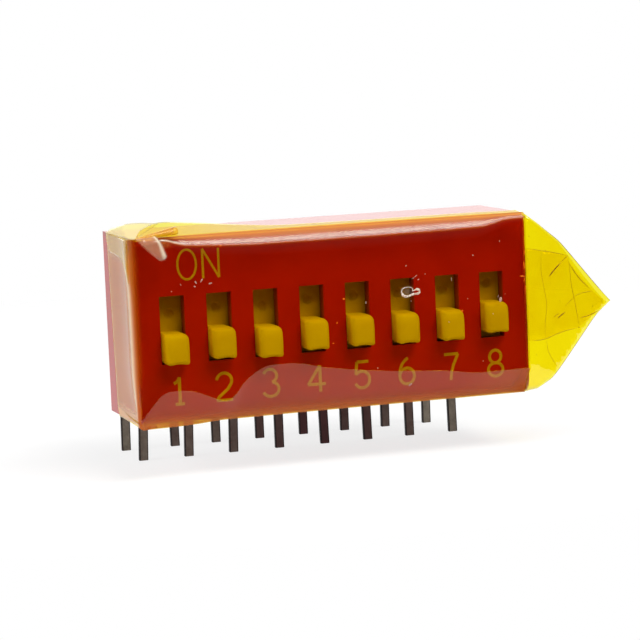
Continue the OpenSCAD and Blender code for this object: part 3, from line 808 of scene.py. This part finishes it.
def profile(x):
    """The hood's section at x, from the end of the bottom flap to the end of the top flap: (in, z)."""
    foot_in, foot_z, crease = read(FOOT_IN, x), read(FOOT_Z, x), read(CREASE_Z, x)
    bend_z, lift = read(BEND_Z, x), read(LIFT, x)
    foot_flap, top_flap = read(FOOT_FLAP, x), read(TOP_FLAP, x)
    points = []
    for k in range(FOOT_ROWS):
        out = 1 - k / FOOT_ROWS
        sag = foot_z + (-FLAP_SAG - foot_z) * smooth(0.15, 0.6, out) - BELOW
        points.append((foot_in + FOLD_R + foot_flap * out, sag))
    for k in range(FOLD_ROWS):
        a = math.radians(90 * k / FOLD_ROWS)
        points.append((foot_in + FOLD_R * (1 - math.sin(a)), foot_z + FOLD_R * (1 - math.cos(a)) - BELOW))
    low_z = foot_z + FOLD_R
    for k in range(SLOPE_ROWS):
        points.append((foot_in * (1 - k / SLOPE_ROWS), low_z + (crease - low_z) * k / SLOPE_ROWS))
    over = (TOP_Z - SHOULDER_RISE - bend_z) / (math.sin(SHOULDER) - math.sin(STRIPE))
    start_z = bend_z - over * math.sin(STRIPE)
    fine_from = min(FINE_Z, start_z - FINE_UNDER)
    points.append((foot_in * 0.03 / (crease - low_z), crease - 0.03))
    points.append((0.0, crease))
    for k in range(FRONT_ROWS):
        points.append((0.0, crease + 0.005 + (fine_from - crease) * k / FRONT_ROWS))
    for k in range(FRONT_ROWS):
        points.append((0.0, fine_from + (start_z - fine_from) * k / FRONT_ROWS))
    for k in range(WIDE_ROWS):
        a = SHOULDER * k / WIDE_ROWS
        points.append((over * (1 - math.cos(a)), start_z + over * math.sin(a)))
    turn = math.radians(90) - math.asin(min(0.9, lift / FLAP_LONG))
    r = SHOULDER_RISE / (math.sin(turn) - math.sin(SHOULDER))
    at_in, at_z = over * (1 - math.cos(SHOULDER)), TOP_Z - SHOULDER_RISE
    for k in range(TIGHT_ROWS):
        a = SHOULDER + (turn - SHOULDER) * k / TIGHT_ROWS
        rise = r * (math.sin(a) - math.sin(SHOULDER))
        points.append((at_in + r * (math.cos(SHOULDER) - math.cos(a)), at_z + rise))
    from_in = at_in + r * (math.cos(SHOULDER) - math.cos(turn))
    for k in range(FLAP_ROWS):
        far = top_flap * k / (FLAP_ROWS - 1)
        points.append((from_in + far * math.sin(turn), TOP_Z + far * math.cos(turn)))
    return points


def film(name, bm, thickness=FILM_T, offset=-1.0, material=amber):
    """Finishes a film sheet drawn as one face of the film: its thickness, body, slot and material."""
    obj = piece(name, bm, material, 60)
    wall = obj.modifiers.new("thickness", "SOLIDIFY")
    wall.thickness = thickness * MM
    wall.offset = offset
    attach(obj, "switch_body")
    return obj


def turn_out(bm, axis):
    """Turns a sheet's faces over where they look the wrong way along an axis: out is its minus side."""
    if sum(f.normal[axis] for f in bm.faces) > 0:
        bmesh.ops.reverse_faces(bm, faces=bm.faces)


def sheet(columns, rows, at):
    """A grid bent into shape: at(column, row) gives each corner, and both count from nought."""
    bm = bmesh.new()
    bmesh.ops.create_grid(bm, x_segments=columns - 1, y_segments=rows - 1, size=0.5)
    for v in bm.verts:
        v.co = at(round((v.co.x + 0.5) * (columns - 1)), round((v.co.y + 0.5) * (rows - 1)))
    return bm


plan = list(plan_points())
sections = [profile(x) for x, y, way in plan]


def slant(y, z):
    """How far the rear edge of the film leans forward to its foot."""
    return REAR_SLANT * (1 - z / house_high.z) * smooth(-6.5, -3.6, y)


def hood_corner(column, row):
    """A point of the hood, leaning forward to its foot at the rear edge, with the relief of the front."""
    x, y, inward = plan[column]
    deep, z = sections[column][row]
    if column < len(END_STEPS):
        x, y, inward = end_place(END_STEPS[column], z)
        upright = smooth(0.2, 0.55, inward.x) * smooth(6.0, 8.5, z)
        flap_from = sections[column][-FLAP_ROWS][0]
        back = max(0.0, deep - flap_from) if row >= len(sections[column]) - FLAP_ROWS else 0.0
        lower = min(z, TOP_Z) - min(z, TOP_Z - SHOULDER_RISE)
        deep, z = (deep - back) * (1 - upright), z - lower * upright
        y += back
    spot = Vector((x + inward.x * deep, y + inward.y * deep, z))
    spot.y -= slant(y, z)
    if inward.y > 0.5:
        over = smooth(0.0, 0.5, z - read(CREASE_Z, x))
        spot.y -= relief(x, z) * over * (1 - smooth(0.1, 0.5, deep)) * smooth(-10.35, -9.95, x)
    return spot


# Painted light on the film: white stands for the highlights and sheen of the lamps, and haze and mist for
# orange reflections of the red housing and the floor; haze also blurs its gloss.
# All three are shares from 0 to 1. At the left end a painted white highlight runs down the corner, as (z, y).
CORNER_Y = ((0.0, -8.78), (6.8, -8.72), (7.9, -8.45), (8.5, -8.15), (9.8, -7.9))
STREAK_WHITE, STREAK_LESS_HIGH, STREAK_LESS_LOW = 0.66, 0.2, 0.5
STREAK_BEFORE, STREAK_BEHIND = 0.24, 0.2
SIDE_WHITE_HIGH, SIDE_WHITE_LOW, SIDE_HAZE_LOW = 0.13, 0.24, 0.16
CORNER_HAZE, CORNER_MIST, CORNER_MIST_LOW = 0.4, 0.66, 0.2
# Over the top bend, with a painted white highlight along it and painted orange below it, and in the slope to
# the foot
BEND_HAZE, BELOW_STRIPE_MIST = 0.44, 0.72
STRIPE_WHITE, STRIPE_WHITE_LEFT = 0.12, 0.5
WIDE_BEND = 0.6
SLOPE_Y, SLOPE_MIST, SLOPE_HAZE = -8.6, 0.15, 0.01
SLOPE_MIST_MORE, SLOPE_HAZE_FOOT, SLOPE_HAZE_RIGHT = 0.3, 0.3, 0.16
# Beside the pinch, where the film is pulled, on the pinch itself and its ridge, and at the blister
PULLED_HAZE, PULLED_MIST = 0.2, 0.4
PINCH_HAZE, PINCH_WHITE, RIDGE_WHITE = 0.22, 0.14, 0.9
BLISTER_WHITE = 0.12


def paint_end(y, z):
    """White, haze and mist of the film round the left end."""
    off = y - read(CORNER_Y, z)
    side, foot, high = smooth(-8.95, -8.7, y), smooth(0.75, 0.45, z), smooth(8.6, 9.5, z)
    streak = STREAK_WHITE - STREAK_LESS_HIGH * smooth(8.7, 9.3, z) - STREAK_LESS_LOW * smooth(1.5, 0.2, z)
    streak *= math.exp(-(off / (STREAK_BEHIND if off > 0 else STREAK_BEFORE)) ** 2)
    white = max(streak, SIDE_WHITE_HIGH * smooth(8.2, 8.7, z) * side, SIDE_WHITE_LOW * foot * side)
    haze = CORNER_HAZE * smooth(8.70, 8.9, -y) * (1 - smooth(8.95, 9.3, -y)) * (1 - 0.8 * high)
    mist = (CORNER_MIST + CORNER_MIST_LOW * smooth(2.2, 1.2, z)) * smooth(8.82, 9.05, -y)
    mist *= (1 - smooth(9.25, 9.65, -y) * smooth(0.6, 1.8, z)) * (1 - 0.4 * high)
    return white, haze + SIDE_HAZE_LOW * foot * side, mist


def paint_front(x, y, z):
    """The same for the rest of the film: the bends, the slope, the blister and the pinch."""
    bend_z = read(BEND_Z, x)
    wide = (TOP_Z - SHOULDER_RISE - bend_z) / WIDE_BEND
    ease = wide if x > 0 else 1.0
    haze = BEND_HAZE * smooth(0.1 * ease, 0.5 * ease, z - bend_z) * (1 - smooth(9.74, 9.8, z))
    mist = 0.0
    if z < read(CREASE_Z, x) + 0.002 and y < SLOPE_Y:
        mist = SLOPE_MIST + SLOPE_MIST_MORE * (smooth(0.95, 0.1, z) + smooth(9.5, 10.4, x))
        haze = SLOPE_HAZE + SLOPE_HAZE_RIGHT * smooth(6.0, 11.0, x)
        haze = max(haze, SLOPE_HAZE_FOOT * smooth(0.6, 0.0, z))
    pulled = smooth(-10.0, -9.7, x) * smooth(-8.8, -9.5, x) * smooth(9.1, 9.5, z) * smooth(9.62, 9.54, z)
    below_stripe = math.exp(-((z - bend_z - 0.03) / 0.07) ** 2) * smooth(-9.5, -9.2, x)
    haze = max(haze, PULLED_HAZE * pulled)
    mist = max(mist, PULLED_MIST * pulled, BELOW_STRIPE_MIST * below_stripe)
    stripe = math.exp(-((z - bend_z - 0.14 * wide) / (0.03 + 0.03 * wide)) ** 2) * smooth(-9.95, -9.65, x)
    blister = math.exp(-((x - 3.7) / 0.2) ** 2 - ((z - 6.0) / 0.18) ** 2)
    white = max(BLISTER_WHITE * blister, stripe * (STRIPE_WHITE + STRIPE_WHITE_LEFT * smooth(-7.9, -8.6, x)))
    if x < PINCH_X and z > PINCH_Z and y < -9.0:
        ridge, along = from_line(Vector((x, z)), PINCH_RIDGE)
        inside = in_pinch(x, z)
        leaf = smooth(-0.03, 0.05, inside)
        fold = math.exp(-(ridge / (RIDGE_W * (1 + along))) ** 2) * smooth(-0.1, 0.02, inside)
        haze = haze * (1 - leaf) + PINCH_HAZE * leaf
        white = max(white * (1 - leaf), PINCH_WHITE * leaf, RIDGE_WHITE * fold)
    return white, haze, mist


def paint(bm):
    """Marks how much painted white highlight and painted orange haze and mist the film has at each corner of
    the mesh.
    """
    layers = [bm.verts.layers.float.new(name) for name in ("white", "haze", "mist")]
    for v in bm.verts:
        x, y, z = v.co
        at_end = x < -10.6 and y > -9.7 and in_pinch(x, z) < 0
        shares = paint_end(y, z) if at_end else paint_front(x, y, z)
        for layer, share in zip(layers, shares):
            v[layer] = share


bm = sheet(len(plan), len(sections[0]), hood_corner)
turn_out(bm, 1)
paint(bm)
hood = film("film_hood", bm)
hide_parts("tape")

# ---------------------------------------------------------------- Doubled film at the left end
# Where the tape was lapped over at the top of the left end it lies double, so that it looks a
# shade deeper there. The lap is a separate layer stuck on the hood's outside.

LAP_T, LAP_GAP = 0.02, 0.012
# Its two ends on the film's line, its lower edge as (y, z), and its upper edge
LAP_FROM, LAP_TO = 0.03, 5.25
LAP_EDGE = ((-9.6, 9.3), (-8.9, 7.4), (-8.6, 7.75), (-8.2, 8.1), (-7.6, 8.42), (-6.6, 8.6), (-5.2, 8.70),
            (-4.3, 8.74), (-3.95, 9.1), (-3.6, 9.3))
LAP_TOP_Z = 9.66
LAP_COLUMNS, LAP_ROWS = 26, 12


def lap_corner(column, row):
    """A point of the lap, outside the hood by its own thickness and a film of glue."""
    s = LAP_FROM + (LAP_TO - LAP_FROM) * column / (LAP_COLUMNS - 1)
    low = read(LAP_EDGE, read(ROUND_Y, s))
    z = low + (LAP_TOP_Z - low) * row / (LAP_ROWS - 1)
    x, y, inward = end_place(s, z)
    out = LAP_T + LAP_GAP
    spot = Vector((x - inward.x * out, y - inward.y * out, z))
    spot.y -= slant(y, z)
    return spot


bm = sheet(LAP_COLUMNS, LAP_ROWS, lap_corner)
turn_out(bm, 0)
paint(bm)
film("film_lap_top", bm, LAP_T)

# ---------------------------------------------------------------- Lapped end at the right
# Past the right end the tube of tape is pressed flat into a pointed tab: its top and bottom are
# folded in behind the front layer, and they overlap in the middle and most of all at the point.

LAYER_STEP = 0.062
TAB_EDGE = ((11.25, 9.17), (11.82, 8.67), (12.47, 8.11), (13.04, 7.45), (14.04, 6.24), (14.91, 5.21),
            (15.40, 4.67), (15.19, 4.51), (14.57, 3.98), (13.79, 3.04), (13.0, 2.06), (12.3, 1.21),
            (11.75, 0.62), (11.2, 0.13))
TAB_START = 10.55
TOP_FOLD_EDGE = ((TAB_START, 2.86), (10.95, 2.82), (11.54, 2.87), (12.14, 3.06), (12.74, 3.22), (13.53, 3.33))
FOOT_FOLD_EDGE = ((TAB_START, 7.84), (11.56, 7.63), (12.3, 7.47), (13.0, 7.27))
POINT_EDGE = ((13.0, 7.27), (13.08, 6.42), (13.13, 5.79), (13.32, 4.74), (13.44, 4.04), (13.53, 3.33))
POINT_UPPER = ((13.06, 6.97), (13.74, 6.09), (14.46, 5.21), (15.02, 4.72))
POINT_LOWER = ((13.96, 3.65), (14.65, 4.08), (15.05, 4.46))
TAB_CREASE = ((10.57, 1.36), (11.5, 0.91), (12.3, 0.5))
TAB_SLOPE, TAB_WAVE, TAB_CELL = 0.64, 0.03, 0.3


def tab_depth(x, z):
    """How far the tab lies behind the plane of the front: it slopes back at its foot and is a bit wavy."""
    below = max(0.0, read(TAB_CREASE, x) - z)
    wave = TAB_WAVE * noise.noise(Vector((x * 0.5, z * 0.35, 7.7))) * smooth(10.7, 12.0, x)
    return TAB_SLOPE * below + wave


def tab_sheet(name, outline, layer):
    """One flat layer of the tab, cut to an outline of (x, z) points, behind the layers before it."""
    bm = bmesh.new()
    bm.faces.new([bm.verts.new((x, 0, z)) for x, z in outline])
    for axis, low, high in ((0, 10.6, 15.4), (2, 0.1, 9.8)):
        for k in range(1, int((high - low) / TAB_CELL)):
            at, normal = Vector(), Vector()
            at[axis], normal[axis] = low + TAB_CELL * k, 1
            cut(bm, at, normal)
    for v in bm.verts:
        v.co.y = WALL_Y + LAYER_STEP * layer + tab_depth(v.co.x, v.co.z)
    bmesh.ops.recalc_face_normals(bm, faces=bm.faces)
    turn_out(bm, 1)
    film(name, bm)


top_corner, foot_corner = (TAB_START, 9.70), (TAB_START, -0.02)
# The folded layers keep just inside the front layer's edge
UPPER_INSIDE = ((TAB_START, 9.6), (11.21, 9.13), (11.79, 8.63), (12.44, 8.07), (12.99, 7.34), (13.84, 6.19),
                (14.62, 5.22), (15.1, 4.68), (15.2, 4.6))
LOWER_INSIDE = ((15.0, 4.5), (14.44, 4.03), (13.69, 3.09), (12.93, 2.09), (12.25, 1.24), (11.71, 0.65),
                (11.17, 0.15))
tab_sheet("film_tab_front", (foot_corner, top_corner) + TAB_EDGE, 1)
tab_sheet("film_tab_top_fold", TOP_FOLD_EDGE[::-1] + UPPER_INSIDE + POINT_LOWER[::-1], 2)
tab_sheet("film_tab_foot_fold", FOOT_FOLD_EDGE + POINT_UPPER + LOWER_INSIDE + (foot_corner,), 3)

# ---------------------------------------------------------------- Creases of the tab
# Sharp creases in the folded film: hair-thin lines where it has yielded and gone a dark, dull
# amber, with specks of its glue beside them. They lie on the tab's front layer.

crease_amber = mottled("polyimide_film_creased", "#742E06", "#9C5204", 0.25, (0.35, 0.6), ior=1.25)

# Lines as (width, points); the width tapers to nothing at both ends
CREASES = (
    (0.055, ((11.84, 6.19), (12.02, 6.40), (12.19, 6.58), (12.57, 6.93))),
    (0.045, ((12.28, 3.92), (12.5, 4.08), (12.74, 4.23))),
    (0.02, ((12.06, 4.0), (12.25, 4.12), (12.41, 4.22))),
    (0.014, ((12.74, 4.55), (13.0, 4.78), (13.29, 5.02))),
    (0.02, FOOT_FOLD_EDGE),
    (0.02, TOP_FOLD_EDGE),
    (0.018, POINT_EDGE),
    (0.014, ((11.44, 7.63), (11.41, 6.54), (11.56, 5.56), (11.68, 4.72), (11.53, 3.49), (11.56, 2.94))),
    (0.014, ((11.6, 2.8), (11.7, 2.16), (12.16, 1.29))),
    (0.03, ((13.05, 6.83), (13.59, 6.03), (14.17, 5.44))),
    (0.02, ((13.25, 5.02), (13.71, 5.19), (14.38, 5.25))),
    (0.03, ((13.59, 3.85), (14.12, 3.95), (14.72, 4.18))),
    (0.02, ((12.57, 6.93), (12.8, 7.15), (13.0, 7.27))),
    (0.022, TAB_EDGE[:7]),
    (0.016, TAB_EDGE[7:]),
)
# Specks of the glue as (x, z, width)
SPECKS = ((10.78, 8.47, 0.05), (11.71, 7.63, 0.05), (12.44, 4.87, 0.05), (10.81, 4.13, 0.04),
          (13.52, 3.34, 0.06), (11.93, 5.86, 0.035), (10.99, 2.05, 0.04), (14.36, 4.44, 0.045),
          (12.22, 6.41, 0.04), (10.66, 7.28, 0.035), (11.49, 7.42, 0.04))
CREASE_PROUD, CREASE_T = 0.014, 0.008


def crease_face(x, z):
    """Where the creases lie at a point: a hair in front of the tab's front layer."""
    return WALL_Y + LAYER_STEP - CREASE_PROUD + tab_depth(x, z)


def flat_line(bm, points, width):
    """Adds a narrow strip along points in the film's plane, pointed at both ends."""
    made = bmesh.ops.create_grid(bm, x_segments=4 * (len(points) - 1), y_segments=1, size=0.5)["verts"]
    reach = [0.0]
    for a, b in zip(points, points[1:]):
        reach.append(reach[-1] + math.dist(a, b))
    xs = tuple((r, p[0]) for r, p in zip(reach, points))
    zs = tuple((r, p[1]) for r, p in zip(reach, points))
    for v in made:
        u = v.co.x + 0.5
        side = 1 if v.co.y > 0 else -1
        s = u * reach[-1]
        x, z = read(xs, s), read(zs, s)
        dx, dz = read(xs, s + 0.01) - read(xs, s - 0.01), read(zs, s + 0.01) - read(zs, s - 0.01)
        half = side * width / 2 * max(0.12, min(1.0, 5 * u, 5 * (1 - u))) / max(math.hypot(dx, dz), 1e-9)
        v.co = (x - dz * half, crease_face(x, z), z + dx * half)


bm = bmesh.new()
for width, points in CREASES:
    flat_line(bm, points, width)
for x, z, size in SPECKS:
    for v in bmesh.ops.create_circle(bm, cap_ends=True, segments=8, radius=size / 2)["verts"]:
        px, pz = x + v.co.x, z + v.co.y
        v.co = (px, crease_face(px, pz), pz)
for f in bm.faces:
    if f.normal.y > 0:
        f.normal_flip()
film("film_tab_creases", bm, CREASE_T, material=crease_amber)

# ---------------------------------------------------------------- Loose film at the top left
# The film of the left end stands up as an ear behind the lifted top flap, and between the two a
# pleat is rolled into a flat open cone. Both are the same film, and neither is stuck down.

EAR_FOOT = ((-10.95, -3.9, 9.70), (-10.97, -5.6, 9.70), (-11.02, -7.2, 9.70), (-11.08, -8.4, 9.70),
            (-10.98, -8.9, 9.71), (-10.80, -9.15, 9.72))
EAR_RIM = ((-10.93, -4.0, 9.78), (-10.93, -4.6, 9.96), (-10.92, -5.4, 10.10), (-10.86, -6.7, 10.30),
           (-10.6, -7.3, 10.40), (-9.9, -7.3, 10.39), (-9.0, -7.3, 10.30))
# The ear is painted pale with white as the sheen on it
EAR_WHITE, EAR_BOW, EAR_WAVE = 0.5, 0.10, 0.03
EAR_COLUMNS, EAR_ROWS = 28, 10


def rail(points, u):
    """Point at a share of the way along a line of points."""
    at = u * (len(points) - 1)
    return Vector([read(tuple((k, p[i]) for k, p in enumerate(points)), at) for i in range(3)])


def mark(bm, name, share):
    """Gives a whole sheet one share of white or haze."""
    layer = bm.verts.layers.float.new(name)
    for v in bm.verts:
        v[layer] = share


def ear_corner(column, row):
    """A point of the ear between its foot and its rim, bowed out except near its last edge."""
    u, up = column / (EAR_COLUMNS - 1), row / (EAR_ROWS - 1)
    spot = rail(EAR_FOOT, u).lerp(rail(EAR_RIM, u), up)
    spot.x -= EAR_BOW * math.sin(up * math.pi) * (1 - smooth(0.7, 1.0, u))
    spot.z += EAR_WAVE * noise.noise(Vector((u * 4, up * 2, 1.3)))
    return spot


bm = sheet(EAR_COLUMNS, EAR_ROWS, ear_corner)
turn_out(bm, 0)
mark(bm, "white", EAR_WHITE)
film("film_ear", bm, LAP_T)

PLEAT_FROM, PLEAT_TO = Vector((-10.84, -9.44, 9.74)), Vector((-8.55, -9.0, 10.02))
PLEAT_R, PLEAT_TIP_R, PLEAT_FLAT = 0.28, 0.02, 0.68
# How far round the cone goes, and where it starts, in degrees
PLEAT_ROUND, PLEAT_TURN = 340, -60
PLEAT_HAZE = 0.3
PLEAT_COLUMNS, PLEAT_ROWS = 16, 24


def pleat_corner(column, row):
    """A point of the cone, which opens from its tip at the corner and doesn't quite close."""
    u, a = column / (PLEAT_COLUMNS - 1), math.radians(PLEAT_ROUND * row / (PLEAT_ROWS - 1) + PLEAT_TURN)
    ahead = (PLEAT_TO - PLEAT_FROM).normalized()
    across = ahead.cross(Vector((0, 0, 1))).normalized()
    up = across.cross(ahead)
    r = PLEAT_TIP_R + PLEAT_R * u ** 0.8
    return PLEAT_FROM.lerp(PLEAT_TO, u) + across * (r * math.cos(a)) + up * (r * PLEAT_FLAT * math.sin(a))


bm = sheet(PLEAT_COLUMNS, PLEAT_ROWS, pleat_corner)
bmesh.ops.recalc_face_normals(bm, faces=bm.faces)
mark(bm, "haze", PLEAT_HAZE)
film("film_pleat", bm, LAP_T, 0.0)

# ---------------------------------------------------------------- Marks on the film
# A blister whose rim is painted white as its glints, pale matt flakes on the front, some of them lint
# and some painted glints of little bumps, and the tape's glue, dried orange in flecks and squeezed out in a
# bead at the right.

# Pale matt flakes: some are lint, and some are painted glints where the film has little bumps
lint_and_glints = mottled("film_lint_and_painted_glints", "#A8735E", "#DDBDA8", 0.08, (0.5, 0.8), detail=3.0)

BLISTER_RIM = ((3.63, 5.76), (3.47, 5.83), (3.39, 6.01), (3.44, 6.17), (3.60, 6.24), (3.77, 6.25),
               (3.93, 6.22), (4.04, 6.15), (4.01, 6.04), (4.12, 6.06), (4.26, 6.11), (4.39, 6.06),
               (4.41, 5.93), (4.32, 5.87), (4.14, 5.87), (3.94, 5.83), (3.80, 5.77))
RIM_R, RIM_STEPS = 0.045, 68
# Flakes as (x, z, length, width, turn in degrees)
LINT_AND_GLINTS = ((-7.83, 7.35, 0.17, 0.08, -60), (-7.52, 7.42, 0.22, 0.07, 55), (-7.90, 7.14, 0.12, 0.07, -20),
        (-7.06, 7.24, 0.19, 0.07, 15), (-8.64, 7.28, 0.13, 0.03, -60), (-9.14, 6.97, 0.08, 0.04, -45),
        (6.24, 6.49, 0.22, 0.04, 95), (9.05, 8.33, 0.12, 0.03, 90), (7.51, 7.68, 0.09, 0.07, 0),
        (9.01, 5.2, 0.26, 0.16, 60), (8.87, 5.39, 0.14, 0.04, 70), (7.12, 5.39, 0.07, 0.04, -40),
        (6.01, 4.23, 0.10, 0.04, -50), (8.55, 4.47, 0.09, 0.04, -45), (9.27, 5.48, 0.05, 0.03, 0),
        (3.71, 7.39, 0.09, 0.06, 30), (4.76, 6.87, 0.05, 0.04, 0), (4.37, 6.61, 0.13, 0.04, 30),
        (3.92, 5.50, 0.07, 0.04, -50), (4.17, 6.76, 0.42, 0.03, 32), (1.39, 5.61, 0.14, 0.05, 80),
        (3.83, 0.98, 0.22, 0.10, 35), (1.91, 2.09, 0.07, 0.05, 20), (7.88, 1.98, 0.06, 0.05, 0))
GLUE = ((10.46, 7.60, 0.30, 0.06, 85), (10.42, 6.95, 0.40, 0.08, 92), (10.33, 6.36, 0.30, 0.08, -10),
        (10.41, 6.18, 0.22, 0.05, 70), (10.45, 5.65, 0.50, 0.05, 88), (10.48, 2.23, 0.10, 0.05, 20),
        (6.78, 4.76, 0.14, 0.10, 10), (-6.40, 9.16, 0.12, 0.06, 0), (0.18, 5.89, 0.12, 0.08, 0),
        (-0.50, 3.60, 0.09, 0.07, 0), (-0.25, 4.66, 0.14, 0.07, 70))
FLAKE_PROUD = 0.012


def flakes(name, places, material):
    """Small flat flakes stuck on the front of the film, all in one piece."""
    bm = bmesh.new()
    for x, z, long, wide, turn in places:
        made = bmesh.ops.create_icosphere(bm, subdivisions=2, radius=0.5)["verts"]
        spin = math.radians(turn)
        for v in made:
            rag = 1 + 0.5 * noise.noise(Vector((v.co.x * 2.2 + x, v.co.z * 2.2 + z, 0.5)))
            a, b = v.co.x * long * rag, v.co.z * wide * rag
            px, pz = x + a * math.cos(spin) - b * math.sin(spin), z + a * math.sin(spin) + b * math.cos(spin)
            crease, low = read(CREASE_Z, px), read(FOOT_Z, px)
            slope = read(FOOT_IN, px) * max(0.0, (crease - pz) / (crease - low))
            v.co = (px, WALL_Y + slope - relief(px, pz) - FLAKE_PROUD * (0.5 - v.co.y), pz)
    bmesh.ops.recalc_face_normals(bm, faces=bm.faces)
    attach(piece(name, bm, material, 60), "switch_body")


flakes("film_lint_and_glints", LINT_AND_GLINTS, lint_and_glints)

glue_dry = mottled("acrylic_glue_dried", "#E05A00", "#F07E00", 0.1, (0.3, 0.5), ior=1.3)
flakes("film_glue_flecks", GLUE, glue_dry)

# The bead runs down the right front corner of the housing, under the film, and is tinted by both
glue_bead = mottled("acrylic_glue_on_red", "#B81E04", "#CC4408", 0.4, (0.3, 0.5), ior=1.47)
BEAD_R, BEAD_FOOT, BEAD_LONG = 0.08, 0.1, 9.5
BEAD_STEPS, TUBE_SIDES = 60, 8


def bead_corner(column, row):
    """A point of the bead, which swells and thins on its way up and is pointed at both ends."""
    z, a = BEAD_FOOT + BEAD_LONG * column / BEAD_STEPS, math.radians(360 * row / TUBE_SIDES)
    ends = min(1.0, column / 3, (BEAD_STEPS - column) / 3)
    r = BEAD_R * (1 + 0.3 * noise.noise(Vector((0, 0, z * 1.3)))) * ends
    return Vector((house_high.x + 0.02 + r * math.cos(a), house_low.y + 0.1 + r * math.sin(a), z))


def tube(name, steps, at, material):
    """Closes the sheet that at() rolls into a tube, and makes it one piece."""
    bm = sheet(steps + 1, TUBE_SIDES + 1, at)
    bmesh.ops.remove_doubles(bm, verts=bm.verts, dist=1e-4)
    bmesh.ops.recalc_face_normals(bm, faces=bm.faces)
    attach(piece(name, bm, material, 60), "switch_body")


tube("film_glue_bead", BEAD_STEPS, bead_corner, glue_bead)

# Painted glints: the rim round the blister is painted white as its glints
painted_glint_rim = mottled("film_blister_painted_glints", "#C99A78", "#FBF0DC", 0.12, (0.4, 0.7), detail=3.0, full=0.6)


def rim_corner(column, row):
    """A point of the rim round the blister, heavier at its foot and at its right."""
    u, a = column / RIM_STEPS * len(BLISTER_RIM), math.radians(360 * row / TUBE_SIDES)
    k, share = int(u) % len(BLISTER_RIM), u % 1.0
    four = [Vector(BLISTER_RIM[(k + i) % len(BLISTER_RIM)]) for i in (-1, 0, 1, 2)]
    spot = four[1].lerp(four[2], share)
    way = (four[2] - four[0]).lerp(four[3] - four[1], share).normalized()
    heavy = max(smooth(6.05, 5.85, spot.y), smooth(4.05, 4.3, spot.x))
    r = RIM_R * (0.36 + 0.9 * heavy + 0.5 * noise.noise(Vector((spot.x * 6, spot.y * 6, 2.2))))
    px, pz = spot.x - way.y * r * math.cos(a), spot.y + way.x * r * math.cos(a)
    return Vector((px, WALL_Y - relief(px, pz) - 0.4 * r * (0.6 + math.sin(a)), pz))


tube("film_blister_rim", RIM_STEPS, rim_corner, painted_glint_rim)
